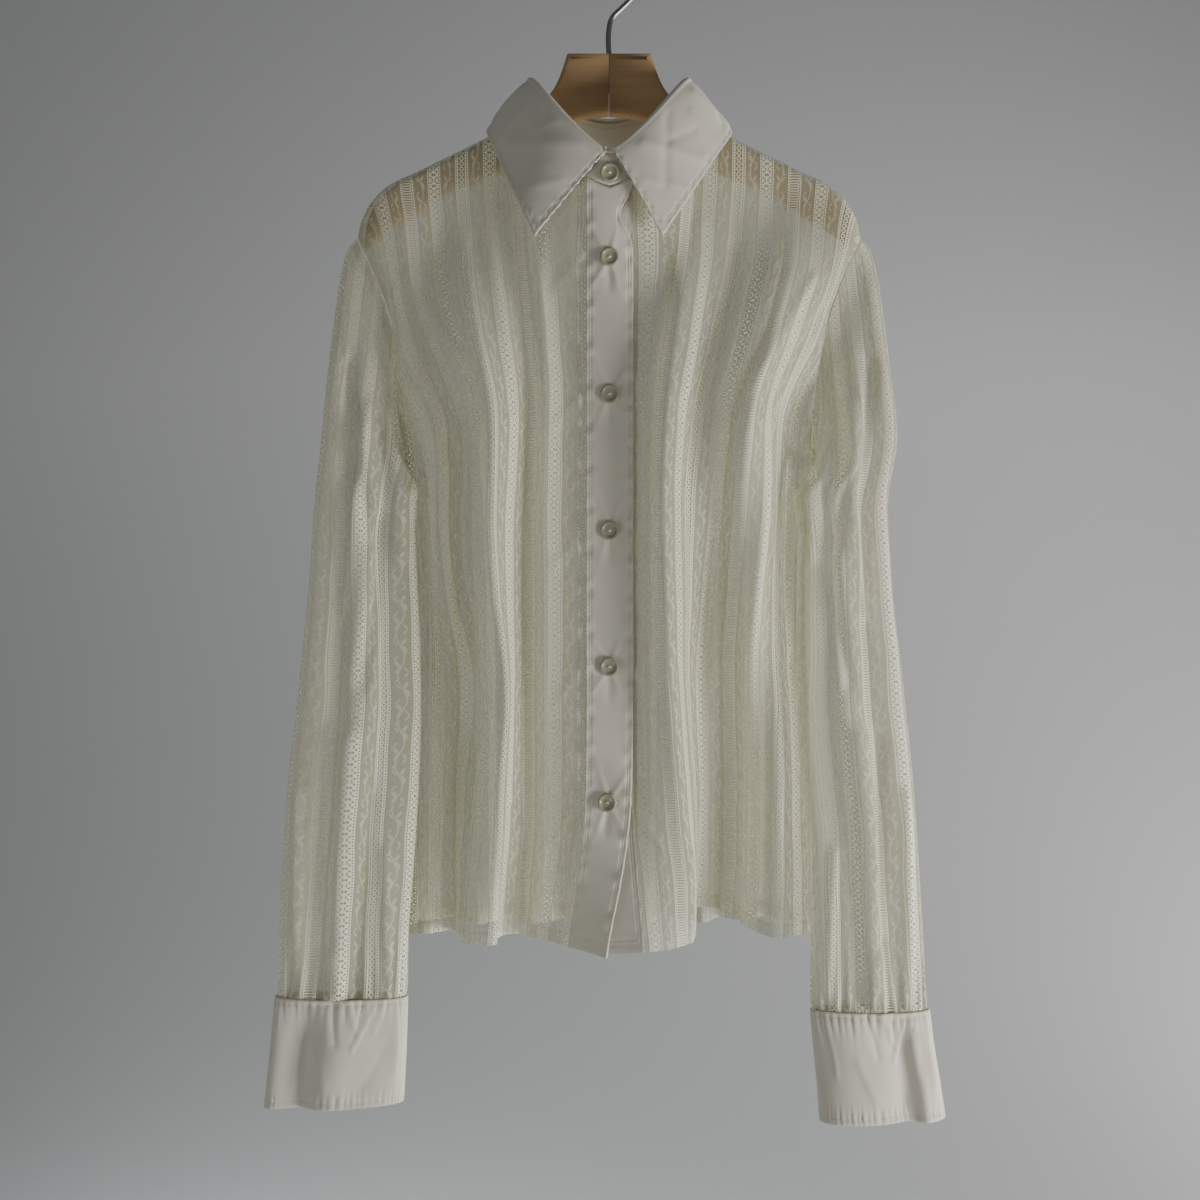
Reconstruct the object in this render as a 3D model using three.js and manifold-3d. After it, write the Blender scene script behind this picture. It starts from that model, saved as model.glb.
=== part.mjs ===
// Lace shirt with a long pointed collar, buttoned up on a two-piece wooden hanger
// Millimetres. +X is to the right seen from the front, +Y to the back, +Z up.
// The origin is the inner top of the hook. A height is given as "down", the distance below it.
// The wearer's right side hangs at -X.
import * as THREE from 'three';
import { mergeVertices } from 'three/addons/utils/BufferGeometryUtils.js';
import Module from 'manifold-3d';

const wasm = await Module();
wasm.setup();

// Cloth
const LACE = 1.2;
const COTTON = 1.6;
const SEAM = 0.4;
const HALF_CHEST = 225;
const COLUMN = 10.5;
const FOLD_SOFTNESS = 9;
const STEEPEST = 1.54;
const FREE_CLOTH = 120;

// Front band, the same width on both fronts
const BAND_HALF = 16.5;
const BAND_TOP_LAYER = 2.4;

// Neck and shoulders
const NECK_HALF = 62;
const NECK_FRONT = 46;
const NECK_BACK = 45;
const NECK_CLOTH = 55;
const NECK_FRONT_DOWN = 183;
const NECK_SIDE_DOWN = 118.5;
const NECK_BACK_DOWN = 128;
const SHOULDER_CLOTH = 180;
const SHOULDER_TIP = 181;
const SHOULDER_TIP_DOWN = 204;
const SHOULDER_HOLD = 200;
const SIDE_HOLD = 145;

// Armhole, from the shoulder tip round to the armpit
const ARMPIT = { x: 147, y: 8, down: 352 };
const ARMPIT_GAP = 2;
const SIDE_SEAM_NEAR = 135;
const SHOULDER_SEAM_LOW = 252;
const ARMHOLE_FRONT = { depth: 22, scoop: 13 };
const ARMHOLE_BACK = { depth: 25, scoop: 7 };
const ARMHOLE_DEGREES = [180, 168, 154, 138, 121, 104, 87, 70, 53, 37, 23, 11, 0];

// Hanger
const WOOD_THICK = 12;
const WOOD_BEVEL = 4;
const OUTLINE_STEPS = 44;
const WIRE = 1.9;
const HOOK_RADIUS = 20;
const CLOTH_OVER_WOOD = 8.6;

// Buttons: radius, thickness, rim width and how deep the middle is
const BUTTON = { radius: 6.6, thick: 2.6, rim: 1.7, recess: 0.9 };
const CUFF_BUTTON = { radius: 5.4, thick: 2.4, rim: 1.4, recess: 0.8 };
const CUFF_BUTTON_DEGREES = 266;
const BUTTON_SIDES = 12;
const FRONT_BUTTONS = 5;
const FIRST_BUTTON_DOWN = 228.5;
const BUTTON_PITCH = 93.6;
const COLLAR_BUTTON_DOWN = 171;

// Heights at which the folds are given
const LEVELS = { shoulder: 215, chest: 337, waist: 450, hip: 582, hem: 703 };

// A half panel hangs from the middle out to the side seam. Each run is a stretch of its cloth:
// its width, and how far it turns at each height, in degrees, positive towards the hanger's plane.
const FRONT_RIGHT_RUNS = [
  { cloth: 16.5, shoulder: 0, chest: 0, waist: 0, hip: 6, hem: 28 },
  { cloth: 13.5, shoulder: 4, chest: 8, waist: 2, hip: 5, hem: 31 },
  { cloth: 16, shoulder: -6, chest: -16, waist: -6, hip: 14, hem: 31 },
  { cloth: 16, shoulder: 14, chest: 42, waist: 38, hip: 28, hem: 40 },
  { cloth: 18, shoulder: -12, chest: -40, waist: -44, hip: -46, hem: -36 },
  { cloth: 21, shoulder: 4, chest: -32, waist: -56, hip: -70, hem: -82 },
  { cloth: 21, shoulder: 14, chest: 42, waist: 42, hip: 38, hem: 16 },
  { cloth: 28, shoulder: -6, chest: 40, waist: 56, hip: 64, hem: 68 },
  { cloth: 22, shoulder: 12, chest: -24, waist: -46, hip: 30, hem: 66 },
  { cloth: 22, shoulder: 6, chest: 40, waist: 54, hip: -34, hem: -30 },
  { cloth: 18, shoulder: 10, chest: 30, waist: 12, hip: 20, hem: 30 },
  { cloth: 13, shoulder: 30, chest: 80, waist: 88, hip: 88, hem: 88 },
];
const FRONT_LEFT_RUNS = [
  { cloth: 16.5, shoulder: 0, chest: 0, waist: 0, hip: -2, hem: -6 },
  { cloth: 17.5, shoulder: -8, chest: -34, waist: -42, hip: -34, hem: 12 },
  { cloth: 18, shoulder: -12, chest: -44, waist: -46, hip: -18, hem: 30 },
  { cloth: 14, shoulder: 14, chest: 24, waist: 34, hip: 52, hem: 56 },
  { cloth: 21, shoulder: 16, chest: 46, waist: 58, hip: 64, hem: 72 },
  { cloth: 21, shoulder: -6, chest: -14, waist: 34, hip: 60, hem: 70 },
  { cloth: 22, shoulder: -10, chest: -36, waist: -30, hip: 4, hem: 12 },
  { cloth: 20, shoulder: 12, chest: 30, waist: -34, hip: -42, hem: -34 },
  { cloth: 21, shoulder: 8, chest: 46, waist: 40, hip: -30, hem: -30 },
  { cloth: 21, shoulder: 14, chest: 40, waist: 50, hip: 46, hem: 34 },
  { cloth: 20, shoulder: 20, chest: 16, waist: 6, hip: 34, hem: 40 },
  { cloth: 12.5, shoulder: 30, chest: 80, waist: 88, hip: 88, hem: 88 },
];
const BACK_RIGHT_RUNS = [
  { cloth: 20, shoulder: 0, chest: 22, waist: 30, hip: 34, hem: 36 },
  { cloth: 22, shoulder: 8, chest: -36, waist: -48, hip: -54, hem: -58 },
  { cloth: 20, shoulder: 10, chest: 34, waist: 44, hip: 52, hem: 56 },
  { cloth: 18, shoulder: 6, chest: 40, waist: 50, hip: 52, hem: 50 },
  { cloth: 24, shoulder: 4, chest: -38, waist: -46, hip: -54, hem: -60 },
  { cloth: 22, shoulder: 10, chest: 32, waist: 40, hip: 46, hem: 52 },
  { cloth: 18, shoulder: 8, chest: 44, waist: 50, hip: 56, hem: 58 },
  { cloth: 26, shoulder: 6, chest: -40, waist: -46, hip: -50, hem: -52 },
  { cloth: 22, shoulder: 14, chest: 46, waist: 44, hip: 44, hem: 40 },
  { cloth: 20, shoulder: 20, chest: 36, waist: 40, hip: 44, hem: 50 },
  { cloth: 13, shoulder: 30, chest: 86, waist: 88, hip: 88, hem: 88 },
];
const BACK_LEFT_RUNS = [
  { cloth: 16, shoulder: 0, chest: -16, waist: -20, hip: -24, hem: -26 },
  { cloth: 20, shoulder: 6, chest: 40, waist: 46, hip: 48, hem: 52 },
  { cloth: 26, shoulder: 8, chest: -34, waist: -40, hip: -50, hem: -56 },
  { cloth: 20, shoulder: 8, chest: 42, waist: 50, hip: 58, hem: 62 },
  { cloth: 20, shoulder: 6, chest: 38, waist: 44, hip: 46, hem: 44 },
  { cloth: 24, shoulder: 4, chest: -42, waist: -52, hip: -58, hem: -62 },
  { cloth: 20, shoulder: 10, chest: 44, waist: 50, hip: 54, hem: 56 },
  { cloth: 24, shoulder: 10, chest: -24, waist: -28, hip: -30, hem: -34 },
  { cloth: 22, shoulder: 16, chest: 50, waist: 52, hip: 54, hem: 52 },
  { cloth: 20, shoulder: 20, chest: 36, waist: 38, hip: 40, hem: 44 },
  { cloth: 13, shoulder: 30, chest: 86, waist: 88, hip: 88, hem: 88 },
];

// Where the middle of a panel and its side seam hang
const FRONT_RIGHT_MIDDLE = [
  { down: 120, x: 0, y: -46 },
  { down: 183, x: 0, y: -46 },
  { down: 450, x: 0, y: -43 },
  { down: 600, x: -1, y: -40 },
  { down: 650, x: -6, y: -37 },
  { down: 711, x: -17, y: -32 },
];
const FRONT_LEFT_MIDDLE = [
  { down: 120, x: 0, y: -43.2 },
  { down: 183, x: 0, y: -43.2 },
  { down: 450, x: 0, y: -40.2 },
  { down: 600, x: 0, y: -37.2 },
  { down: 650, x: 3, y: -35.5 },
  { down: 711, x: 8.5, y: -35 },
];
const BACK_MIDDLE = [
  { down: 110, x: 0, y: 45 },
  { down: 215, x: 0, y: 42 },
  { down: 337, x: 0, y: 40 },
  { down: 582, x: 0, y: 46 },
  { down: 711, x: 0, y: 50 },
];
const SIDE_SEAM = [
  { down: 110, x: 226, y: 0 },
  { down: 204, x: 220, y: 0 },
  { down: 278, x: 178, y: 2 },
  { down: 330, x: 149.5, y: 5 },
  { down: 352, x: 147, y: 8 },
  { down: 450, x: 146.5, y: 13 },
  { down: 582, x: 147, y: 15 },
  { down: 711, x: 147.5, y: 16 },
];

// Hem line and the height of the shoulder along the hanger
const FRONT_RIGHT_HEM = [
  { cloth: -16.5, down: 710 },
  { cloth: 16.5, down: 706.5 },
  { cloth: 60, down: 703 },
  { cloth: 225, down: 703 },
];
const FRONT_LEFT_HEM = [
  { cloth: -16.5, down: 711 },
  { cloth: 16.5, down: 708 },
  { cloth: 60, down: 702 },
  { cloth: 105, down: 688 },
  { cloth: 125, down: 689 },
  { cloth: 160, down: 702 },
  { cloth: 225, down: 703 },
];
const BACK_HEM = [
  { cloth: 0, down: 706 },
  { cloth: 225, down: 703 },
];
const SHOULDER_LINE = [
  { x: 62, down: 118.5 },
  { x: 88.6, down: 131.5 },
  { x: 137, down: 155.2 },
  { x: 158.5, down: 165.5 },
  { x: 171, down: 177.5 },
  { x: 178, down: 191 },
  { x: 181, down: 204 },
];
const ARMHOLE_CLOTH = [
  { down: 110, cloth: 180 },
  { down: 204, cloth: 180 },
  { down: 240, cloth: 180 },
  { down: 275, cloth: 184 },
  { down: 310, cloth: 196 },
  { down: 335, cloth: 210 },
  { down: 352, cloth: 225 },
];

// Sleeve sections: outer and inner end, middle, and half depth to the front and back
const SLEEVE_CAP = [
  { outX: 189, outDown: 213, inX: 151, inDown: 355, y: 2, front: 22, back: 23, scoop: 8 },
  { outX: 193, outDown: 238, inX: 152, inDown: 361, y: -5, front: 21, back: 21, scoop: 5 },
  { outX: 196, outDown: 272, inX: 150, inDown: 368, y: -13, front: 19, back: 18, scoop: 2 },
  { outX: 199, outDown: 310, inX: 146, inDown: 375, y: -20, front: 18, back: 16, scoop: 0 },
  { outX: 202, outDown: 350, inX: 142, inDown: 383, y: -24, front: 17, back: 15, scoop: 0 },
];
const SLEEVE_RIGHT = [
  { down: 392, out: 206, in: 139, front: 17, back: 15 },
  { down: 425, out: 208.5, in: 136, front: 17, back: 15 },
  { down: 462, out: 211, in: 134, front: 17, back: 14 },
  { down: 500, out: 215, in: 132.5, front: 17, back: 14 },
  { down: 540, out: 219, in: 132, front: 17, back: 14 },
  { down: 580, out: 224, in: 133, front: 16, back: 14 },
  { down: 620, out: 227, in: 135, front: 15, back: 14 },
  { down: 660, out: 229.5, in: 138, front: 14, back: 13 },
  { down: 700, out: 231.5, in: 141, front: 13, back: 12 },
  { down: 740, out: 232.5, in: 142.5, front: 12, back: 11 },
];
const SLEEVE_LEFT = [
  { down: 392, out: 195, in: 134, front: 17, back: 15 },
  { down: 425, out: 196, in: 132.5, front: 17, back: 15 },
  { down: 462, out: 198.5, in: 131.7, front: 17, back: 14 },
  { down: 500, out: 203, in: 131.5, front: 17, back: 14 },
  { down: 545, out: 208, in: 131.7, front: 17, back: 14 },
  { down: 590, out: 212.5, in: 135, front: 16, back: 14 },
  { down: 630, out: 215.5, in: 139, front: 15, back: 14 },
  { down: 670, out: 218, in: 140.5, front: 14, back: 13 },
  { down: 710, out: 220.5, in: 141.5, front: 13, back: 12 },
  { down: 749, out: 222.6, in: 142, front: 12, back: 11 },
];
const SLEEVE_FORWARD = -27;

// Long folds down a sleeve: where round it, how wide, and how deep at three heights
const SLEEVE_FOLDS = [
  { turn: 38, width: 26, cap: 0, elbow: 2.5, wrist: 1.5 },
  { turn: 66, width: 24, cap: 1, elbow: -5, wrist: -4 },
  { turn: 96, width: 28, cap: 1, elbow: 3.5, wrist: 2 },
  { turn: 124, width: 24, cap: -1, elbow: -5.5, wrist: -3 },
  { turn: 150, width: 24, cap: 0, elbow: 3, wrist: 1 },
  { turn: 215, width: 28, cap: 0, elbow: 3, wrist: 2 },
  { turn: 248, width: 26, cap: -1, elbow: -4.5, wrist: -3 },
  { turn: 284, width: 30, cap: 1, elbow: 3, wrist: 2 },
  { turn: 318, width: 26, cap: 0, elbow: -4, wrist: -2 },
];
const CUFF_RIGHT = [
  { down: 740.5, out: 232.5, in: 142.5, front: 12, back: 11 },
  { down: 765, out: 235, in: 143, front: 12, back: 11 },
  { down: 790, out: 237.5, in: 144, front: 12.5, back: 11 },
  { down: 815.5, out: 240, in: 145.5, front: 13, back: 11 },
];
const CUFF_LEFT = [
  { down: 749.5, out: 222.6, in: 142, front: 12, back: 11 },
  { down: 775, out: 226, in: 144, front: 12, back: 11 },
  { down: 800, out: 230, in: 146.5, front: 12.5, back: 11 },
  { down: 826, out: 233.6, in: 148.7, front: 13, back: 11 },
];

// Collar: the fold line on top of the stand, and the free edge of the fall round each half
const FOLD_LINE = { half: 57, front: 46.5, back: 50, frontDown: 155, sideDown: 89, backDown: 100 };
const COLLAR_START = 2.6;
const STAND_STEP = 2.2;
const ROLL = 2.7;
const ROLL_DEGREES = [140, 90, 40, 0];
const FALL_BULGE = 3;
const FALL_SHARES = [0.2, 0.45, 0.7, 1];
const FALL_TURNS = [0, 14, 28, 42, 56, 70, 84, 98, 114, 130, 148, 164];
const STAND_TURNS = [-12, ...FALL_TURNS, 180];
const FALL_RIGHT = [
  { turn: 0, x: 51.5, y: -51, down: 214.5 },
  { turn: 20, x: 61, y: -46, down: 193 },
  { turn: 40, x: 70, y: -35, down: 173 },
  { turn: 60, x: 80, y: -21, down: 149 },
  { turn: 75, x: 86, y: -11.5, down: 134 },
  { turn: 84, x: 87.5, y: -3, down: 127 },
  { turn: 130, x: 62, y: 40, down: 140 },
  { turn: 180, x: 0, y: 57, down: 150 },
];
const FALL_LEFT = [
  { turn: 0, x: 36.5, y: -51, down: 214.8 },
  { turn: 20, x: 50, y: -48, down: 194 },
  { turn: 40, x: 63, y: -38, down: 173 },
  { turn: 60, x: 77, y: -23, down: 149 },
  { turn: 75, x: 86, y: -11.5, down: 134 },
  { turn: 84, x: 87.5, y: -3, down: 127 },
  { turn: 130, x: 62, y: 40, down: 140 },
  { turn: 180, x: 0, y: 57, down: 150 },
];

// Hanger outline, right half seen from the front, the left half mirrors it
const WOOD_TOP = [
  { x: 30, down: 71 },
  { x: 36.7, down: 90.4 },
  { x: 45, down: 103 },
  { x: 62, down: 121 },
  { x: 88.6, down: 134 },
  { x: 137, down: 157.7 },
  { x: 156, down: 167.5 },
  { x: 167.5, down: 179 },
  { x: 173.5, down: 192.5 },
  { x: 175, down: 204 },
];
const WOOD_UNDER = [
  { x: 174, down: 210 },
  { x: 159, down: 198.4 },
  { x: 137.5, down: 185.5 },
  { x: 116, down: 169.5 },
  { x: 81, down: 157 },
  { x: 52, down: 137 },
  { x: 26, down: 119.5 },
  { x: 0, down: 114.5 },
];

// Small helpers
const mix = THREE.MathUtils.lerp;
const radians = THREE.MathUtils.degToRad;
const vec = (x, y, z) => new THREE.Vector3(x, y, z);
const soft = (t) => THREE.MathUtils.smoothstep(t, 0, 1);
const column = (rows, name) => rows.map((row) => row[name]);

// A smooth curve through points: xs rise, and slopes come from the neighbours
function curve(xs, ys, x) {
  const last = xs.length - 1;
  const at = THREE.MathUtils.clamp(x, xs[0], xs[last]);
  let k = 0;
  while (k < last - 1 && at > xs[k + 1]) k += 1;
  const slope = (i) => {
    const before = Math.max(i - 1, 0);
    const after = Math.min(i + 1, last);
    return (ys[after] - ys[before]) / (xs[after] - xs[before]);
  };
  const span = xs[k + 1] - xs[k];
  const t = (at - xs[k]) / span;
  const start = (1 + 2 * t) * (1 - t) ** 2 * ys[k] + t * (1 - t) ** 2 * span * slope(k);
  const end = t * t * (3 - 2 * t) * ys[k + 1] + t * t * (t - 1) * span * slope(k + 1);
  return start + end;
}

function lookUp(rows, key, name, at) {
  return curve(column(rows, key), column(rows, name), at);
}

// Direction of the cloth at a place and height, eased from each run to the next
function clothTurn(runs, cloth, down) {
  const heights = Object.values(LEVELS);
  const turnOf = (run) => curve(heights, Object.keys(LEVELS).map((name) => run[name]), down);
  let turn = turnOf(runs[0]);
  let border = 0;
  for (let k = 1; k < runs.length; k += 1) {
    border += runs[k - 1].cloth;
    const share = soft((cloth - border) / FOLD_SOFTNESS + 0.5);
    turn += (turnOf(runs[k]) - turnOf(runs[k - 1])) * share;
  }
  return radians(turn);
}

// Where the cloth gets to when it is followed from the middle out, its turns scaled by a strength
function followCloth(runs, cloth, down, strength) {
  const steps = Math.max(1, Math.ceil(Math.abs(cloth) / 3));
  const step = cloth / steps;
  let out = 0;
  let inward = 0;
  for (let k = 0; k < steps; k += 1) {
    const turn = Math.min(clothTurn(runs, (k + 0.5) * step, down) * strength, STEEPEST);
    out += Math.cos(turn) * step;
    inward += Math.sin(turn) * step;
  }
  return { out, inward };
}

// Strength of the folds that brings the side seam to its place, and the lean that is left over
const fits = new Map();
function fitFolds(half, down) {
  const name = `${half.side} ${half.face} ${down.toFixed(2)}`;
  if (!fits.has(name)) {
    const middle = { x: lookUp(half.middle, 'down', 'x', down), y: lookUp(half.middle, 'down', 'y', down) };
    const seam = { x: lookUp(SIDE_SEAM, 'down', 'x', down), y: lookUp(SIDE_SEAM, 'down', 'y', down) };
    let low = 0;
    let high = 1.5;
    for (let k = 0; k < 16; k += 1) {
      const strength = (low + high) / 2;
      const reach = followCloth(half.runs, HALF_CHEST, down, strength).out;
      if (reach > seam.x - half.side * middle.x) low = strength;
      else high = strength;
    }
    const strength = (low + high) / 2;
    const end = followCloth(half.runs, HALF_CHEST, down, strength);
    const seamSide = seam.y + half.face * SEAM / 2;
    const lean = ((seamSide - middle.y) * -half.face - end.inward) / (HALF_CHEST - BAND_HALF);
    fits.set(name, { middle, strength, lean });
  }
  return fits.get(name);
}

// Plan of a half panel at a height, pinned to its middle and its side seam
function hang(half, cloth, down) {
  const { middle, strength, lean } = fitFolds(half, down);
  const here = followCloth(half.runs, cloth, down, strength);
  return {
    x: middle.x + half.side * here.out,
    y: middle.y - half.face * (here.inward + lean * Math.max(cloth - BAND_HALF, 0)),
  };
}

// Angle round the neck, from its front or back middle, after so much cloth
function neckAngle(cloth, depth) {
  const plan = cloth + 30 * soft((Math.abs(cloth) - 18) / (NECK_CLOTH - 18)) * Math.sign(cloth);
  const steps = 40;
  let angle = 0;
  for (let k = 0; k < steps; k += 1) {
    const along = Math.hypot(NECK_HALF * Math.cos(angle), depth * Math.sin(angle));
    angle += plan / steps / along;
  }
  return Math.min(angle, Math.PI / 2);
}

function neckDown(angle, face) {
  const rise = Math.abs(Math.sin(angle)) ** 1.3;
  return mix(face < 0 ? NECK_FRONT_DOWN : NECK_BACK_DOWN, NECK_SIDE_DOWN, rise);
}

// Top edge of a half panel: round the neck, then along the shoulder
function topEdge(half, cloth) {
  if (cloth < NECK_CLOTH) {
    const angle = neckAngle(cloth, Math.abs(half.neckY));
    return {
      x: half.side * NECK_HALF * Math.sin(angle),
      y: half.neckY * Math.cos(angle) + half.face * SEAM / 2,
      down: neckDown(angle, half.face),
    };
  }
  const share = (cloth - NECK_CLOTH) / (SHOULDER_CLOTH - NECK_CLOTH);
  const x = mix(NECK_HALF, SHOULDER_TIP, share);
  return { x: half.side * x, y: half.face * SEAM / 2, down: lookUp(SHOULDER_LINE, 'x', 'down', x) };
}

// The armhole loop at an angle: 0 is the shoulder tip, 180 the armpit
function armhole(side, face, degrees) {
  const angle = radians(degrees);
  const rise = (1 + Math.cos(angle)) / 2;
  const shape = face < 0 ? ARMHOLE_FRONT : ARMHOLE_BACK;
  return {
    x: side * (mix(ARMPIT.x, SHOULDER_TIP, rise) - shape.scoop * Math.sin(angle) ** 2),
    y: mix(ARMPIT.y, 0, rise) + face * (shape.depth * Math.sin(angle) + SEAM / 2),
    down: mix(ARMPIT.down, SHOULDER_TIP_DOWN, rise),
  };
}

// Cloth above the armpit is narrower: its outer part is taken in, its inner part keeps its folds
function narrowed(cloth, width) {
  if (cloth < FREE_CLOTH) return cloth;
  return FREE_CLOTH + (cloth - FREE_CLOTH) * (width - FREE_CLOTH) / (HALF_CHEST - FREE_CLOTH);
}

// A point of a half panel before it is brought to the armhole
function loosePoint(half, full, width, down) {
  const cloth = narrowed(full, width);
  const topCloth = narrowed(full, SHOULDER_CLOTH);
  const top = topEdge(half, topCloth);
  const plan = hang(half, cloth, down);
  const topPlan = hang(half, topCloth, top.down);
  const below = Math.max(down - top.down, 0);
  const hold = 1 - soft(below / mix(SHOULDER_HOLD, SIDE_HOLD, full / HALF_CHEST));
  const wrap = Math.sqrt(1 - (1 - Math.min(below / 7, 1)) ** 2) * CLOTH_OVER_WOOD;
  const forward = half.face * (plan.y + (top.y - topPlan.y) * hold);
  const draped = Math.hypot(Math.max(forward, 0), wrap);
  const y = half.face * mix(draped, forward, soft((below - 30) / 60));
  return vec(plan.x + (top.x - topPlan.x) * hold, y, -down);
}

// One point of a half panel. The edge height belongs to the armhole and side seam column.
function panelPoint(half, share, edge) {
  const full = mix(half.start, HALF_CHEST, share);
  const hemEdge = lookUp(half.hem, 'cloth', 'down', HALF_CHEST);
  const rise = (hemEdge - edge.down) / (hemEdge - SHOULDER_TIP_DOWN);
  const top = topEdge(half, narrowed(full, SHOULDER_CLOTH));
  const hem = lookUp(half.hem, 'cloth', 'down', full);
  const width = lookUp(ARMHOLE_CLOTH, 'down', 'cloth', edge.down);
  const point = loosePoint(half, full, width, mix(hem, top.down, rise));
  if (edge.degrees !== undefined) {
    const target = armhole(half.side, half.face, edge.degrees);
    const loose = loosePoint(half, HALF_CHEST, width, edge.down);
    const pull = share ** 4;
    point.x += (target.x - loose.x) * pull;
    point.y += (target.y - loose.y) * pull;
  }
  return point;
}

// Rows of a panel from the hem up: plain heights, then the armhole's own
function edgeRows(hemDown) {
  const below = [1, 0.9, 0.8, 0.7, 0.6, 0.5, 0.4, 0.3, 0.2, 0.1];
  const rows = below.map((part) => ({ down: mix(ARMPIT.down, hemDown, part) }));
  for (const degrees of ARMHOLE_DEGREES) {
    rows.push({ down: armhole(1, -1, degrees).down, degrees });
  }
  return rows;
}

// Shares across a half panel, with whole columns in every run of cloth
function runShares(half) {
  const shares = [0];
  let at = 0;
  for (const run of half.runs) {
    const from = Math.max(at, half.start);
    at += run.cloth;
    if (at - from < 1) continue;
    const count = Math.round((at - from) / COLUMN);
    for (let k = 1; k <= count; k += 1) {
      shares.push((mix(from, at, k / count) - half.start) / (HALF_CHEST - half.start));
    }
  }
  shares[shares.length - 1] = 1;
  return shares;
}

function panelGrid(half) {
  const shares = runShares(half);
  const hemDown = lookUp(half.hem, 'cloth', 'down', HALF_CHEST);
  return edgeRows(hemDown).map((edge) => shares.map((share) => panelPoint(half, share, edge)));
}

// Closed solid from a grid of outer points: a wall with rims, or a tube when the rows are rings.
// The inner points can be kept on their side of a seam.
function wall(grid, thickness, { ring = false, flip = false, keep = (point) => point } = {}) {
  const rows = grid.length;
  const across = grid[0].length;
  const last = ring ? across : across - 1;
  const outward = (j, i) => {
    const before = ring ? (i + across - 1) % across : Math.max(i - 1, 0);
    const after = ring ? (i + 1) % across : Math.min(i + 1, across - 1);
    const along = grid[j][after].clone().sub(grid[j][before]);
    const up = grid[Math.min(j + 1, rows - 1)][i].clone().sub(grid[Math.max(j - 1, 0)][i]);
    return along.cross(up).normalize().multiplyScalar(flip ? -thickness : thickness);
  };
  const positions = [];
  for (let j = 0; j < rows; j += 1) {
    for (let i = 0; i < across; i += 1) positions.push(...grid[j][i].toArray());
  }
  for (let j = 0; j < rows; j += 1) {
    for (let i = 0; i < across; i += 1) {
      positions.push(...keep(grid[j][i].clone().sub(outward(j, i))).toArray());
    }
  }
  const outer = (j, i) => j * across + (i % across);
  const inner = (j, i) => (rows + j) * across + (i % across);
  const index = [];
  const quad = (a, b, c, d) => index.push(...(flip ? [a, c, b, a, d, c] : [a, b, c, a, c, d]));
  for (let i = 0; i < last; i += 1) {
    for (let j = 0; j < rows - 1; j += 1) {
      quad(outer(j, i), outer(j, i + 1), outer(j + 1, i + 1), outer(j + 1, i));
      quad(inner(j, i + 1), inner(j, i), inner(j + 1, i), inner(j + 1, i + 1));
    }
    const top = rows - 1;
    quad(inner(0, i), inner(0, i + 1), outer(0, i + 1), outer(0, i));
    quad(outer(top, i), outer(top, i + 1), inner(top, i + 1), inner(top, i));
  }
  if (!ring) {
    const end = across - 1;
    for (let j = 0; j < rows - 1; j += 1) {
      quad(outer(j, 0), outer(j + 1, 0), inner(j + 1, 0), inner(j, 0));
      quad(outer(j + 1, end), outer(j, end), inner(j, end), inner(j + 1, end));
    }
  }
  const geometry = new THREE.BufferGeometry();
  geometry.setAttribute('position', new THREE.Float32BufferAttribute(positions, 3));
  geometry.setIndex(index);
  return geometry;
}

// No cloth crosses the plane of the shoulder seam, or of the side seam near the seam
const ownSide = (face) => (point) => {
  const down = -point.z;
  const atSide = down > ARMPIT.down && Math.abs(point.x) > SIDE_SEAM_NEAR;
  if (down > SHOULDER_SEAM_LOW && !atSide) return point;
  const plane = atSide ? lookUp(SIDE_SEAM, 'down', 'y', down) + face * SEAM : face * SEAM / 2;
  return (point.y - plane) * face < 0 ? point.setY(plane) : point;
};

// Halves of the body
const laceStart = BAND_HALF + SEAM / 2;
const frontRight = {
  side: -1, face: -1, runs: FRONT_RIGHT_RUNS, middle: FRONT_RIGHT_MIDDLE, hem: FRONT_RIGHT_HEM,
  neckY: -NECK_FRONT, start: laceStart,
};
const frontLeft = {
  side: 1, face: -1, runs: FRONT_LEFT_RUNS, middle: FRONT_LEFT_MIDDLE, hem: FRONT_LEFT_HEM,
  neckY: -NECK_FRONT + 2.8, start: laceStart,
};
const backRight = {
  side: -1, face: 1, runs: BACK_RIGHT_RUNS, middle: BACK_MIDDLE, hem: BACK_HEM,
  neckY: NECK_BACK, start: 0,
};
const backLeft = {
  side: 1, face: 1, runs: BACK_LEFT_RUNS, middle: BACK_MIDDLE, hem: BACK_HEM,
  neckY: NECK_BACK, start: 0,
};

// The back is one piece: the left half from the side seam to the middle, then the right half
function backGrid() {
  const right = panelGrid(backRight);
  const left = panelGrid(backLeft);
  return right.map((row, j) => [...left[j].slice(1).reverse(), ...row]);
}

// A front band, from its free edge past the middle to the seam with the lace
function bandGrid(half, forward) {
  const reach = BAND_HALF - SEAM / 2;
  const places = [-reach, -reach / 2, 0, reach / 2, reach];
  const heights = [0, 0.06, 0.12, 0.2, 0.32, 0.44, 0.56, 0.68, 0.78, 0.86, 0.93, 1];
  return heights.map((rise) => places.map((cloth) => {
    const top = topEdge(half, cloth);
    const down = mix(lookUp(half.hem, 'cloth', 'down', cloth), top.down + SEAM, rise);
    const hold = 1 - soft((down - top.down) / SHOULDER_HOLD);
    const plan = hang(half, cloth, down);
    const topPlan = hang(half, cloth, top.down);
    const x = plan.x + (top.x - topPlan.x) * hold;
    const y = plan.y + (top.y - topPlan.y) * hold;
    return vec(x, y - forward, -down);
  }));
}

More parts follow.
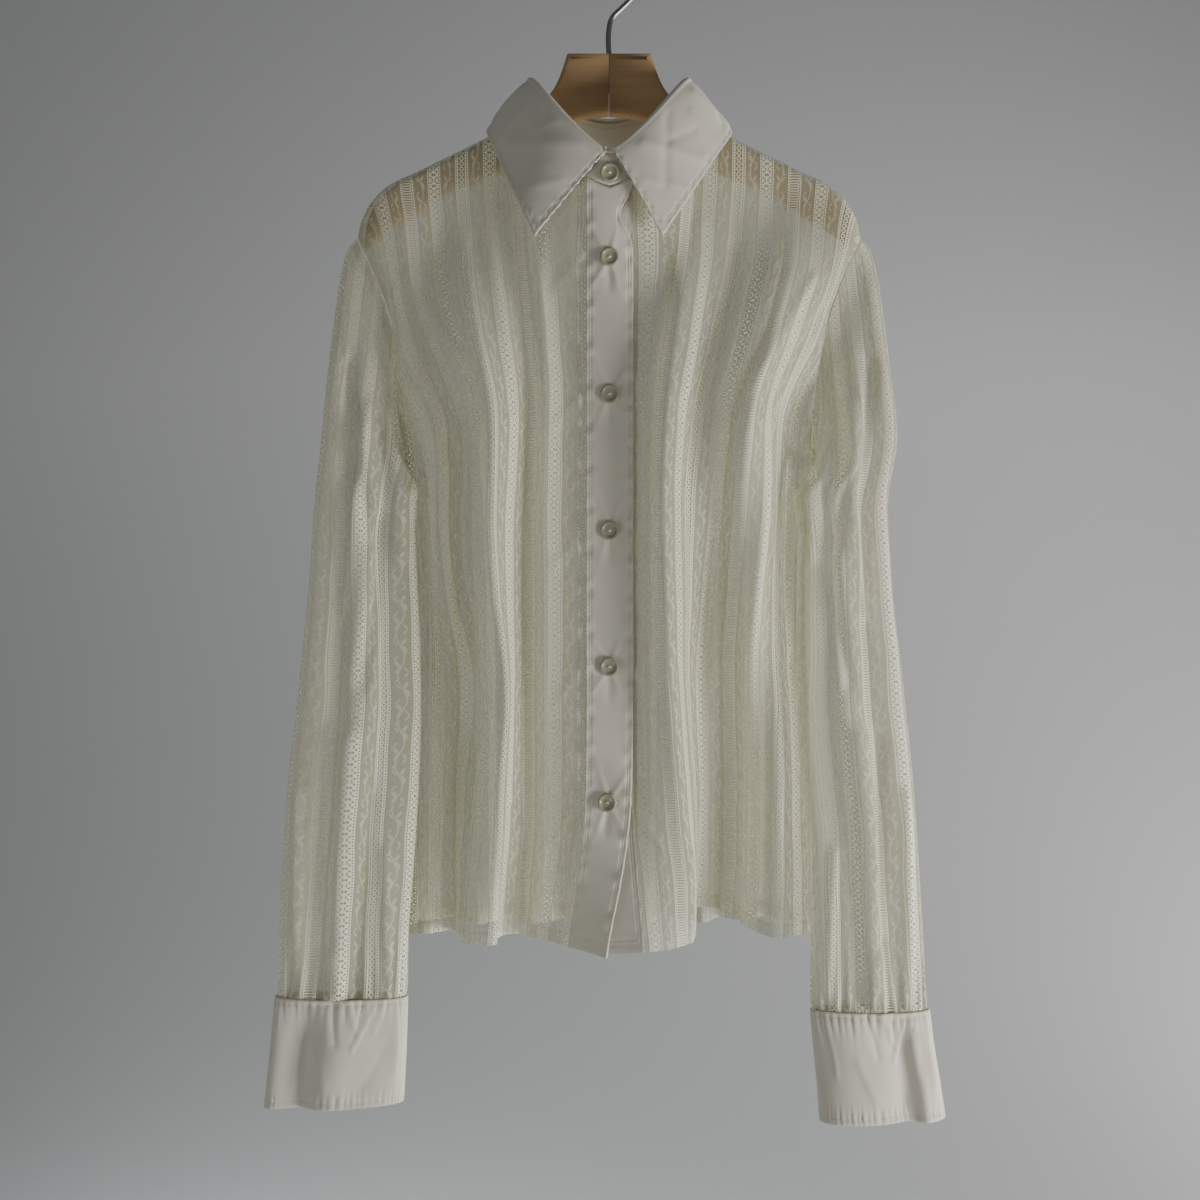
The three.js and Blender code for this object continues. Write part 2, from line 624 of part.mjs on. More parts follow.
// Depth of a sleeve's folds at a place round it
function sleeveFold(degrees, share) {
  let depth = 0;
  for (const fold of SLEEVE_FOLDS) {
    const away = ((degrees - fold.turn + 540) % 360 - 180) / fold.width;
    const size = curve([0, 0.45, 0.9, 1], [fold.cap, fold.elbow, fold.wrist, 0], share);
    depth += size * Math.exp(-away * away * 2);
  }
  return depth;
}

// One point of a sleeve section, 0 degrees at its outer end, 90 in front, 180 at its inner end
function sleevePoint(section, degrees, swell = 0) {
  const angle = radians(degrees);
  const half = (section.outX - section.inX) / 2;
  const depth = Math.sin(angle) > 0 ? section.front : section.back;
  const size = 1 + swell / Math.hypot(half * Math.cos(angle), depth * Math.sin(angle));
  const rise = (1 + Math.cos(angle) * size) / 2;
  const scoop = (section.scoop ?? 0) * Math.sin(angle) ** 2;
  return vec(
    mix(section.inX, section.outX, rise) - scoop,
    section.y - depth * Math.sin(angle) * size,
    -mix(section.inDown, section.outDown, rise),
  );
}

const ringDegrees = [
  ...ARMHOLE_DEGREES.slice().reverse(),
  ...ARMHOLE_DEGREES.slice(1, -1).map((degrees) => 360 - degrees),
];

function levelSections(rows) {
  return rows.map((row) => ({
    outX: row.out, outDown: row.down, inX: row.in, inDown: row.down,
    y: SLEEVE_FORWARD, front: row.front, back: row.back,
  }));
}

// The sleeve starts on the armhole loop, a seam's width off the body
function sleeveGrid(side, rows) {
  const loop = ringDegrees.map((degrees) => {
    const face = degrees <= 180 ? -1 : 1;
    const at = armhole(side, face, degrees <= 180 ? degrees : 360 - degrees);
    const rise = (ARMPIT.down - at.down) / (ARMPIT.down - SHOULDER_TIP_DOWN);
    return vec(at.x + side * mix(ARMPIT_GAP, 2 * SEAM, soft(rise)), at.y, -at.down);
  });
  const sections = [...SLEEVE_CAP, ...levelSections(rows)];
  const rings = sections.map((section, k) => ringDegrees.map((degrees) => {
    const swell = sleeveFold(degrees, (k + 1) / sections.length);
    const point = sleevePoint(section, degrees, swell);
    point.x *= side;
    return point;
  }));
  return [loop, ...rings];
}

function cuffGrid(side, rows) {
  return levelSections(rows).map((section) => ringDegrees.map((degrees) => {
    const point = sleevePoint(section, degrees);
    point.x *= side;
    return point;
  }));
}

// How far the right end of the neckband lies over the left, near the front middle
function overlapStep(degrees) {
  return STAND_STEP * soft((60 - degrees) / 60);
}

// The fold line of the collar at an angle from the front middle, on one side
function foldLine(side, degrees, step) {
  const angle = radians(degrees);
  const front = degrees < 90;
  const rise = Math.sin(angle) ** 1.3;
  return vec(
    side * (FOLD_LINE.half * Math.sin(angle) + step * Math.sin(angle)),
    -Math.cos(angle) * ((front ? FOLD_LINE.front : FOLD_LINE.back) + step),
    -mix(front ? FOLD_LINE.frontDown : FOLD_LINE.backDown, FOLD_LINE.sideDown, rise),
  );
}

// The fall: a roll over the stand, then down to the free edge
function fallColumn(side, edge, degrees) {
  const crest = foldLine(side, Math.max(degrees, COLLAR_START), overlapStep(degrees));
  const away = vec(crest.x, crest.y, 0).normalize();
  const free = vec(
    side * lookUp(edge, 'turn', 'x', degrees),
    lookUp(edge, 'turn', 'y', degrees),
    -lookUp(edge, 'turn', 'down', degrees),
  );
  const roll = ROLL_DEGREES.map((turn) => crest.clone()
    .add(away.clone().multiplyScalar(ROLL * Math.cos(radians(turn))))
    .add(vec(0, 0, ROLL * (Math.sin(radians(turn)) - 1))));
  const start = roll[roll.length - 1];
  const drop = FALL_SHARES.map((share) => start.clone().lerp(free, share)
    .add(away.clone().multiplyScalar(FALL_BULGE * Math.sin(Math.PI * share ** 0.7))));
  return [...roll, ...drop];
}

function fallGrid() {
  const right = FALL_TURNS.map((turn) => fallColumn(-1, FALL_RIGHT, turn));
  const left = FALL_TURNS.map((turn) => fallColumn(1, FALL_LEFT, turn));
  const columns = [...right, fallColumn(1, FALL_LEFT, 180), ...left.reverse()];
  return columns[0].map((_, k) => columns.map((points) => points[k]));
}

// The stand: a band round the neck whose ends pass each other in front
function standGrid() {
  const ring = [...STAND_TURNS, ...STAND_TURNS.slice(0, -1).reverse().map((turn) => 360 - turn)];
  const heights = [0, 0.33, 0.67, 1];
  return heights.map((rise) => ring.map((degrees) => {
    const side = degrees <= 180 ? 1 : -1;
    const turn = degrees <= 180 ? degrees : 360 - degrees;
    const angle = radians(turn);
    const face = turn < 90 ? -1 : 1;
    const low = vec(
      side * NECK_HALF * Math.sin(angle),
      -(face < 0 ? NECK_FRONT : NECK_BACK) * Math.cos(angle),
      -neckDown(angle, face) + 2 * SEAM,
    );
    const step = side < 0 ? overlapStep(turn) : 0;
    const high = foldLine(side, Math.abs(turn), step);
    high.x = side * FOLD_LINE.half * Math.sin(angle);
    high.z -= ROLL + 3 * SEAM;
    const away = vec(low.x, low.y, 0).normalize();
    return low.lerp(high, rise).add(away.multiplyScalar(step * (1 - rise)));
  }));
}

// Manifold joins and cuts
function toManifold(geometry) {
  const bare = geometry.clone();
  bare.deleteAttribute('normal');
  bare.deleteAttribute('uv');
  const merged = mergeVertices(bare, 1e-4);
  return new wasm.Manifold(new wasm.Mesh({
    numProp: 3,
    vertProperties: new Float32Array(merged.attributes.position.array),
    triVerts: new Uint32Array(merged.index.array),
  }));
}

function fromManifold(solid) {
  const mesh = solid.getMesh();
  const geometry = new THREE.BufferGeometry();
  geometry.setAttribute('position', new THREE.Float32BufferAttribute(mesh.vertProperties, 3));
  geometry.setIndex([...mesh.triVerts]);
  return geometry;
}

// Hanger wood: one outline with rounded edges, bored for the hook and parted at the middle joint
function woodOutline() {
  const corners = [...WOOD_TOP, ...WOOD_UNDER].map((row) => vec(row.x, 0, -row.down));
  const route = new THREE.CatmullRomCurve3(corners, false, 'centripetal');
  const right = route.getSpacedPoints(OUTLINE_STEPS).map((point) => new THREE.Vector2(point.x, point.z));
  const left = right.slice(0, -1).reverse().map((point) => new THREE.Vector2(-point.x, point.y));
  return new THREE.Shape([...right, ...left]);
}

function woodHalves() {
  const outline = woodOutline();
  const solid = new THREE.ExtrudeGeometry(outline, {
    depth: WOOD_THICK - 2 * WOOD_BEVEL,
    bevelThickness: WOOD_BEVEL,
    bevelSize: WOOD_BEVEL,
    bevelOffset: -WOOD_BEVEL,
    bevelSegments: 2,
  });
  solid.rotateX(Math.PI / 2);
  solid.translate(0, WOOD_THICK / 2 - WOOD_BEVEL, 0);
  const bore = new THREE.CylinderGeometry(WIRE + 0.3, WIRE + 0.3, 60, 12);
  bore.rotateX(Math.PI / 2);
  bore.translate(0, 0, -WOOD_TOP[0].down);
  const bored = toManifold(solid).subtract(toManifold(bore));
  return [-1, 1].map((side) => {
    const room = new THREE.BoxGeometry(200, 40, 200);
    room.translate(side * (100 + SEAM / 2), 0, -150);
    return fromManifold(bored.intersect(toManifold(room)));
  });
}

// Hook: a straight stem in the bore, a bend to the right and an open round of wire
function hookGeometry() {
  const centre = -HOOK_RADIUS + WIRE;
  const points = [vec(0, 0, -98), vec(0, 0, -75), vec(0, 0, -52), vec(2.2, 0, -44.5), vec(8, 0, -38.3)];
  for (let degrees = -45; degrees <= 195; degrees += 15) {
    const angle = radians(degrees);
    points.push(vec(HOOK_RADIUS * Math.cos(angle), 0, centre + HOOK_RADIUS * Math.sin(angle)));
  }
  const route = new THREE.CatmullRomCurve3(points, false, 'centripetal');
  const section = new THREE.Shape();
  section.absarc(0, 0, WIRE, 0, 2 * Math.PI);
  return new THREE.ExtrudeGeometry(section, { steps: 34, curveSegments: 4, extrudePath: route });
}

// A button turned on a lathe, with a rim and a sunk middle, facing -Y
function buttonGeometry(size) {
  const profile = [
    [0, 0],
    [size.radius - 0.5, 0],
    [size.radius, size.thick * 0.45],
    [size.radius - 0.5, size.thick],
    [size.radius - size.rim, size.thick],
    [size.radius - size.rim - 0.8, size.thick - size.recess],
    [0, size.thick - size.recess],
  ];
  const button = new THREE.LatheGeometry(profile.map(([r, h]) => new THREE.Vector2(r, h)), BUTTON_SIDES);
  button.rotateX(Math.PI);
  return button;
}

// Materials
const finish = (color, roughness, metalness = 0) => new THREE.MeshStandardMaterial({
  color, roughness, metalness,
});
const lace = finish(0xddd9c6, 0.85);
const cotton = finish(0xe2dfd4, 0.8);
const shell = finish(0xa9a58a, 0.35);
const beech = finish(0xb08a62, 0.55);
const steel = finish(0x8f8c86, 0.3, 1);

// The whole object
const shirt = new THREE.Group();

function place(name, geometry, material) {
  const mesh = new THREE.Mesh(geometry, material);
  mesh.name = name;
  shirt.add(mesh);
  return mesh;
}

place('front_right', wall(panelGrid(frontRight), LACE, { flip: true, keep: ownSide(-1) }), lace);
place('front_left', wall(panelGrid(frontLeft), LACE, { keep: ownSide(-1) }), lace);
place('back', wall(backGrid(), LACE, { keep: ownSide(1) }), lace);
place('placket', wall(bandGrid(frontRight, BAND_TOP_LAYER), COTTON, { flip: true }), cotton);
place('underlap', wall(bandGrid(frontLeft, 0), COTTON), cotton);
place('sleeve_right', wall(sleeveGrid(-1, SLEEVE_RIGHT), LACE, { ring: true, flip: true }), lace);
place('sleeve_left', wall(sleeveGrid(1, SLEEVE_LEFT), LACE, { ring: true }), lace);
place('cuff_right', wall(cuffGrid(-1, CUFF_RIGHT), COTTON, { ring: true, flip: true }), cotton);
place('cuff_left', wall(cuffGrid(1, CUFF_LEFT), COTTON, { ring: true }), cotton);
place('collar', wall(fallGrid(), COTTON), cotton);
place('collar_stand', wall(standGrid(), COTTON), cotton);

const [woodRight, woodLeft] = woodHalves();
place('hanger_wood_right', woodRight, beech);
place('hanger_wood_left', woodLeft, beech);
place('hanger_hook', hookGeometry(), steel);

// Buttons lie on the placket, turned with it
const buttonPlace = (down) => {
  const [left, right] = [6, -6].map((cloth) => hang(frontRight, cloth, down));
  return {
    at: vec((left.x + right.x) / 2, (left.y + right.y) / 2 - BAND_TOP_LAYER - SEAM, -down),
    turn: Math.atan2(right.y - left.y, right.x - left.x),
  };
};
for (let k = 0; k < FRONT_BUTTONS; k += 1) {
  const { at, turn } = buttonPlace(FIRST_BUTTON_DOWN + k * BUTTON_PITCH);
  const button = place(`button_${k + 1}`, buttonGeometry(BUTTON), shell);
  button.rotation.z = turn;
  button.position.copy(at);
}
place('button_collar', buttonGeometry(BUTTON), shell)
  .position.set(0, -NECK_FRONT - STAND_STEP - 2 * SEAM, -COLLAR_BUTTON_DOWN);

for (const [name, side, rows] of [['right', -1, CUFF_RIGHT], ['left', 1, CUFF_LEFT]]) {
  const at = sleevePoint(levelSections(rows)[1], CUFF_BUTTON_DEGREES);
  const button = place(`button_cuff_${name}`, buttonGeometry(CUFF_BUTTON), shell);
  button.rotation.z = Math.PI;
  button.position.set(side * at.x, at.y + SEAM, at.z);
}

export default shirt;
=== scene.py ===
"""Ivory lace shirt on a wooden hanger, dressed over its solid frame."""

import math

import bmesh
import bpy
import numpy as np
from bpy.props import FloatProperty, FloatVectorProperty, PointerProperty
from bpy.types import Operator, Panel, PropertyGroup
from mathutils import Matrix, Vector


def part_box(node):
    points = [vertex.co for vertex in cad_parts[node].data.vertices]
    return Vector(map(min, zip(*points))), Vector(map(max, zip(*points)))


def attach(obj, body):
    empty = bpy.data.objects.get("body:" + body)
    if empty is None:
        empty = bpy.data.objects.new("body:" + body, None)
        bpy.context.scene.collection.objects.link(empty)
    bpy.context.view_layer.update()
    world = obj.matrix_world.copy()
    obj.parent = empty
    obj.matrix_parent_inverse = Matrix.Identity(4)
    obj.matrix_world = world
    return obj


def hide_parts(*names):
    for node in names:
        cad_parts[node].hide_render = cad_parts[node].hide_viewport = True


bl_info = {
    "name": "Lace Shirt",
    "version": (1, 0, 0),
    "blender": (4, 5, 0),
    "location": "3D View > Sidebar > Lace Shirt",
    "description": "Dresses a lace shirt on a wooden hanger over its solid frame",
    "category": "Object",
}

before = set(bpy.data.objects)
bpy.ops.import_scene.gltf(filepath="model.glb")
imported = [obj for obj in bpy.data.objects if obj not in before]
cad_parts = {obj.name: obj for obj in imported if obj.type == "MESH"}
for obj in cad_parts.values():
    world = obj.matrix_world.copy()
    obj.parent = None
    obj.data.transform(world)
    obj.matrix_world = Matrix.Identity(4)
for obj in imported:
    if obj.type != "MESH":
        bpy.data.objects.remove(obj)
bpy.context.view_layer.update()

# Sizes are in millimetres as in the solid frame, and meshes are built in metres.
# The origin is the inner top of the hook. "Down" is the distance below it.
# The wearer's right side hangs at -X.
MM = 0.001
PHOTO_WIDTH = 864
PHOTO_DISTANCE = 1000
PHOTO_CENTRE = (-6.5, -463.4)
SENSOR = 36.0

HALF_CHEST = 225
FOLD_SOFTNESS = 9
STEEPEST = 1.54
FREE_CLOTH = 120
SEAM = 0.4
BAND_HALF = 16.5
BAND_TOP_LAYER = 2.4
NECK_HALF, NECK_FRONT, NECK_BACK, NECK_CLOTH = 62, 46, 45, 55
NECK_FRONT_DOWN, NECK_SIDE_DOWN, NECK_BACK_DOWN = 183, 118.5, 128
SHOULDER_CLOTH, SHOULDER_TIP, SHOULDER_TIP_DOWN = 180, 181, 204
SHOULDER_HOLD, SIDE_HOLD, CLOTH_OVER_WOOD = 200, 145, 8.6
ARMPIT_X, ARMPIT_Y, ARMPIT_DOWN, ARMPIT_GAP = 147, 8, 352, 2
SLEEVE_FORWARD = -27
SLEEVE_WIDTH, SLEEVE_HALF, SLEEVE_DEPTH = 196, 42, 16
COLLAR_START, STAND_STEP, ROLL, COLLAR_LENGTH = 2.6, 2.2, 2.7, 393
FRONT_BUTTONS, FIRST_BUTTON_DOWN, BUTTON_PITCH, COLLAR_BUTTON_DOWN = 5, 228.5, 93.6, 171
HEM_DEPTH = 10
FALL_LENGTH, STAND_HEIGHT = 62, 30
LACE_BAND, LACE_PITCH = 5.0, 21

# Heights and cloth at which the folds are worked out
HANG_FROM, HANG_TO, HANG_STEP = 96.0, 724.1, 4.0
CLOTH_FROM, CLOTH_STEP = -18.0, 1.0

# Columns, rows up to the armpit and rows above it of each half panel
PANEL_GRID = (120, 120, 90)
# Columns and rows of the bands, the sleeves and the stand, and the grids of the cuffs and the fall
BAND_GRID, SLEEVE_GRID, STAND_GRID = (31, 300), (145, 260), (110, 16)
CUFF_DEGREES, CUFF_ROWS = 1.25, 60
FALL_COLUMNS, ROLL_ROWS, FALL_ROWS = 190, 12, 40
COTTON_THICK, CUFF_THICK = 1.3, 1.5
CUFF_ROUND, CUFF_HEIGHT = 205, 77
# How far each cuff's lower edge leans down on its outer side
CUFF_LEAN = {-1: 4.0, 1: -3.0}
# The sleeve is tucked in under the armpit: how far, at which height and over what height
TUCK, TUCK_DOWN, TUCK_REACH = 9, 368, 30

# Heights down at which the turns of the folds are given
LEVELS = (215, 337, 450, 582, 703)

# Runs of a half panel from the middle out: cloth width, then degrees of turn at each level
FRONT_RIGHT_RUNS = (
    (16.5, 0, 0, 0, 6, 28), (13.5, 4, 8, 2, 5, 31), (16, -6, -16, -6, 14, 31), (16, 14, 42, 38, 28, 40),
    (18, -12, -40, -44, -46, -36), (21, 4, -32, -56, -70, -82), (21, 14, 42, 42, 38, 16),
    (28, -6, 40, 56, 64, 68), (22, 12, -24, -46, 30, 66), (22, 6, 40, 54, -34, -30),
    (18, 10, 30, 12, 20, 30), (13, 30, 80, 88, 88, 88),
)
FRONT_LEFT_RUNS = (
    (16.5, 0, 0, 0, -2, -6), (17.5, -8, -34, -42, -34, 12), (18, -12, -44, -46, -18, 30),
    (14, 14, 24, 34, 52, 56), (21, 16, 46, 58, 64, 72), (21, -6, -14, 34, 60, 70),
    (22, -10, -36, -30, 4, 12), (20, 12, 30, -34, -42, -34), (21, 8, 46, 40, -30, -30),
    (21, 14, 40, 50, 46, 34), (20, 20, 16, 6, 34, 40), (12.5, 30, 80, 88, 88, 88),
)
BACK_RIGHT_RUNS = (
    (20, 0, 22, 30, 34, 36), (22, 8, -36, -48, -54, -58), (20, 10, 34, 44, 52, 56), (18, 6, 40, 50, 52, 50),
    (24, 4, -38, -46, -54, -60), (22, 10, 32, 40, 46, 52), (18, 8, 44, 50, 56, 58),
    (26, 6, -40, -46, -50, -52), (22, 14, 46, 44, 44, 40), (20, 20, 36, 40, 44, 50),
    (13, 30, 86, 88, 88, 88),
)
BACK_LEFT_RUNS = (
    (16, 0, -16, -20, -24, -26), (20, 6, 40, 46, 48, 52), (26, 8, -34, -40, -50, -56),
    (20, 8, 42, 50, 58, 62), (20, 6, 38, 44, 46, 44), (24, 4, -42, -52, -58, -62), (20, 10, 44, 50, 54, 56),
    (24, 10, -24, -28, -30, -34), (22, 16, 50, 52, 54, 52), (20, 20, 36, 38, 40, 44),
    (13, 30, 86, 88, 88, 88),
)

# Middle lines and the side seam: down, x, y
FRONT_RIGHT_MIDDLE = (
    (120, 0, -46), (183, 0, -46), (450, 0, -43), (600, -1, -40), (650, -6, -37), (711, -17, -32),
)
FRONT_LEFT_MIDDLE = (
    (120, 0, -43.2), (183, 0, -43.2), (450, 0, -40.2), (600, 0, -37.2), (650, 3, -35.5), (711, 8.5, -35),
)
BACK_MIDDLE = ((110, 0, 45), (215, 0, 42), (337, 0, 40), (582, 0, 46), (711, 0, 50))
SIDE_SEAM = (
    (110, 226, 0), (204, 220, 0), (278, 178, 2), (330, 149.5, 5), (352, 147, 8), (450, 146.5, 13),
    (582, 147, 15), (711, 147.5, 16),
)

# Hem lines: cloth, down. Shoulder line: x, down. Cloth out to the armhole edge: down, cloth
FRONT_RIGHT_HEM = ((-16.5, 710), (16.5, 706.5), (60, 703), (225, 703))
FRONT_LEFT_HEM = (
    (-16.5, 711), (16.5, 708), (60, 702), (105, 688), (125, 689), (160, 702), (225, 703),
)
BACK_HEM = ((0, 706), (225, 703))
SHOULDER_LINE = (
    (62, 118.5), (88.6, 131.5), (137, 155.2), (158.5, 165.5), (171, 177.5), (178, 191), (181, 204),
)
ARMHOLE_CLOTH = ((110, 180), (204, 180), (240, 180), (275, 184), (310, 196), (335, 210), (352, 225))
ARMHOLE_SHAPES = {-1: (22, 13), 1: (25, 7)}

# Sleeve cap sections: outer x and down, inner x and down, middle y, half depth front and back, scoop
SLEEVE_CAP = (
    (189, 213, 151, 355, 2, 22, 23, 8), (193, 238, 152, 361, -5, 21, 21, 5),
    (196, 272, 150, 368, -13, 19, 18, 2), (199, 310, 146, 375, -20, 18, 16, 0),
    (202, 350, 142, 383, -24, 17, 15, 0),
)
# Inner edge of the cap: down, x
SLEEVE_INNER = ((204, 134), (300, 136), (352, 138))
# Sleeve and cuff sections: down, outer x, inner x, half depth front and back
SLEEVE_RIGHT = (
    (392, 206, 139, 17, 15), (425, 208.5, 136, 17, 15), (462, 211, 134, 17, 14), (500, 215, 132.5, 17, 14),
    (540, 219, 132, 17, 14), (580, 224, 133, 16, 14), (620, 227, 135, 15, 14), (660, 229.5, 138, 14, 13),
    (700, 231.5, 141, 13, 12), (740, 232.5, 142.5, 12, 11),
)
SLEEVE_LEFT = (
    (392, 195, 134, 17, 15), (425, 196, 132.5, 17, 15), (462, 198.5, 131.7, 17, 14),
    (500, 203, 131.5, 17, 14), (545, 208, 131.7, 17, 14), (590, 212.5, 135, 16, 14),
    (630, 215.5, 139, 15, 14), (670, 218, 140.5, 14, 13), (710, 220.5, 141.5, 13, 12),
    (749, 222.6, 142, 12, 11),
)
CUFF_RIGHT = (
    (740.5, 232.5, 142.5, 12, 11), (765, 235, 143, 12, 11), (790, 237.5, 144, 12.5, 11),
    (815.5, 240, 145.5, 13, 11),
)
CUFF_LEFT = (
    (749.5, 222.6, 142, 12, 11), (775, 226, 144, 12, 11), (800, 230, 146.5, 12.5, 11),
    (826, 233.6, 148.7, 13, 11),
)
# Long folds of a sleeve: degrees round it, width in degrees, depth at the cap, elbow and wrist
SLEEVE_FOLDS = (
    (38, 26, 0, 2.5, 1.5), (66, 24, 1, -5, -4), (96, 28, 1, 3.5, 2), (124, 24, -1, -5.5, -3),
    (150, 24, 0, 3, 1), (215, 28, 0, 3, 2), (248, 26, -1, -4.5, -3), (284, 30, 1, 3, 2),
    (318, 26, 0, -4, -2),
)

# Collar fall, free edge round each half: degrees, x, y, down
FALL_RIGHT = (
    (0, 51.5, -51, 214.5), (20, 61, -46, 193), (40, 70, -35, 173), (60, 80, -21, 149), (75, 86, -11.5, 134),
    (84, 87.5, -3, 127), (130, 62, 40, 140), (180, 0, 57, 150),
)
FALL_LEFT = (
    (0, 36.5, -51, 214.8), (20, 50, -48, 194), (40, 63, -38, 173), (60, 77, -23, 149), (75, 86, -11.5, 134),
    (84, 87.5, -3, 127), (130, 62, 40, 140), (180, 0, 57, 150),
)
FOLD_HALF, FOLD_FRONT, FOLD_BACK = 57, 46.5, 50
FOLD_FRONT_DOWN, FOLD_SIDE_DOWN, FOLD_BACK_DOWN = 155, 89, 100

# Small creases of the body, in cloth millimetres: from and to (cloth, down), half width, rise
FRONT_RIGHT_CREASES = (
    (18, 225, 34, 250, 3, 0.9), (18, 322, 40, 345, 3, 0.9), (18, 330, 36, 305, 2.5, 0.7),
    (18, 415, 38, 440, 3, 0.9), (18, 509, 36, 535, 3, 0.8), (18, 603, 34, 628, 3, 0.8),
    (150, 235, 120, 300, 5, 1.6), (168, 250, 140, 345, 5, 1.8), (180, 300, 150, 380, 5, -1.6),
    (66, 190, 60, 300, 6, 1.4), (92, 210, 84, 330, 6, -1.4), (46, 640, 50, 703, 4, 1.5),
    (74, 610, 72, 703, 4, -1.5), (128, 560, 132, 703, 5, 1.8), (206, 380, 196, 470, 5, 1.5),
    (34, 160, 46, 260, 5, 1.0),
)
FRONT_LEFT_CREASES = (
    (18, 232, 36, 255, 3, 0.9), (18, 318, 38, 300, 3, 0.8), (18, 326, 42, 350, 3, 1.0),
    (18, 420, 40, 446, 3, 0.9), (18, 512, 38, 540, 3, 0.8), (18, 606, 36, 634, 3, 0.9),
    (152, 240, 126, 320, 5, 1.8), (170, 262, 150, 350, 5, -1.6), (60, 200, 66, 320, 6, 1.4),
    (88, 215, 96, 340, 6, -1.5), (112, 430, 120, 520, 5, 1.6), (58, 640, 56, 702, 4, 1.5),
    (100, 620, 104, 690, 4, -1.6), (148, 600, 146, 700, 5, 1.6), (200, 390, 190, 500, 5, 1.4),
    (36, 160, 44, 250, 5, 0.9),
)
BACK_CREASES = (
    (0, 170, 20, 300, 7, 1.4), (40, 190, 52, 330, 6, -1.4), (84, 200, 90, 340, 6, 1.5),
    (130, 220, 120, 330, 6, -1.6), (170, 260, 150, 350, 5, 1.6), (60, 520, 66, 700, 5, 1.5),
    (110, 560, 104, 702, 5, -1.6), (160, 480, 166, 640, 5, 1.4), (200, 400, 190, 520, 5, -1.4),
    (24, 560, 20, 704, 5, 1.3),
)
# Creases of a sleeve: degrees round it and down, from and to, half width, rise
SLEEVE_CREASES = (
    (60, 300, 105, 420, 9, 3.6), (100, 330, 70, 470, 8, -3.2), (120, 410, 95, 520, 8, 3.2),
    (62, 560, 82, 700, 7, 2.6), (88, 560, 84, 735, 9, -4.6), (110, 600, 104, 735, 8, 3.0),
    (130, 640, 140, 735, 6, -2.6), (40, 600, 48, 735, 6, -2.4), (75, 700, 72, 745, 4, 2.2),
    (128, 300, 140, 430, 8, -2.8), (230, 380, 260, 520, 9, 3.2), (290, 560, 275, 720, 8, -2.8),
    (245, 640, 250, 735, 6, 2.4), (320, 430, 300, 560, 8, 2.8),
)

# Soft dents of a cuff: degrees round it, share of its height, widths of both, rise
CUFF_DENTS = (
    (35, 0.40, 20, 0.26, -1.3), (92, 0.62, 18, 0.30, 1.3), (132, 0.34, 16, 0.24, -1.5),
    (112, 0.82, 14, 0.2, -1.2), (150, 0.55, 14, 0.3, 1.4), (225, 0.5, 24, 0.3, -1.3),
    (300, 0.4, 24, 0.3, 1.2), (262, 0.75, 20, 0.25, -1.1), (330, 0.7, 18, 0.25, -1.2),
)
# Folds of each cuff: degrees round it, move forward
CUFF_RIGHT_FOLDS = (
    (0, 0), (15, 1.6), (30, 0.5), (50, -4.2), (63, -6.8), (72, -3), (84, 1), (105, 1.6), (140, 0.6),
    (180, 0), (230, -1), (300, 1), (360, 0),
)
CUFF_LEFT_FOLDS = (
    (0, 0), (20, 1.2), (38, 2.2), (47, 2.2), (58, -3), (68, -4.4), (85, -2), (110, 1), (140, 1.6), (180, 0),
    (240, 1), (300, -1), (360, 0),
)
# Short creases of a cuff: degrees round it and down, from and to, half width, rise
CUFF_CREASES = (
    (121, 8, 104, 34, 2.2, 1.2), (98, 0, 108, 24, 3, 1.5), (112, 0, 106, 26, 2.4, -1.3),
    (132, 0, 126, 22, 3, 1.5), (84, 0, 90, 30, 3, -1.3), (142, 30, 118, 62, 5, -1.2),
    (38, 4, 44, 42, 4, 1.1), (152, 8, 147, 52, 4, 1.2), (72, 34, 84, 60, 5, 0.9), (22, 0, 24, 20, 3, 1.2),
    (228, 0, 220, 28, 3, 1.3), (262, 4, 268, 40, 4, -1.2), (300, 0, 306, 30, 3, 1.2),
    (330, 10, 322, 50, 5, -1.1),
)
# Creases of the collar: round its fold and down its fall, from and to, half width, rise
COLLAR_CREASES = (
    (16, 6, 58, 46, 5, 0.9), (48, 8, 30, 52, 4, -0.7), (74, 4, 92, 44, 5, 0.9), (100, 6, 84, 50, 5, -0.7),
    (10, 30, 30, 56, 3, 0.5), (62, 20, 70, 58, 3, 0.6), (34, 4, 44, 20, 3, 0.6), (374, 8, 342, 52, 4, 0.9),
    (352, 4, 374, 40, 4, -0.8), (322, 8, 304, 52, 5, 0.9), (296, 4, 312, 46, 5, -0.7),
    (384, 28, 362, 56, 3, 0.5), (336, 18, 326, 56, 3, 0.6), (360, 20, 340, 30, 3, -0.5),
    (140, 6, 150, 52, 7, -0.8), (180, 8, 214, 56, 8, 0.9), (240, 5, 250, 52, 7, 0.8),
    (268, 8, 254, 50, 6, -0.7),
)

# Hanger outline: x, down, along the top and then the underside
WOOD_TOP = (
    (30, 71), (36.7, 90.4), (45, 103), (62, 121), (88.6, 134), (137, 157.7), (156, 167.5), (167.5, 179),
    (173.5, 192.5), (175, 204),
)
WOOD_UNDER = (
    (174, 210), (159, 198.4), (137.5, 185.5), (116, 169.5), (81, 157), (52, 137), (26, 119.5), (0, 114.5),
)
WOOD_THICK, WOOD_BEVEL, WOOD_JOINT = 12, 4, 0.3
WIRE, HOOK_RADIUS = 1.9, 20
# Knot of thread on a button: radius, height
THREAD_KNOT = ((0, 0), (1.0, 0.1), (1.0, 0.4), (0.6, 0.65), (0, 0.7))


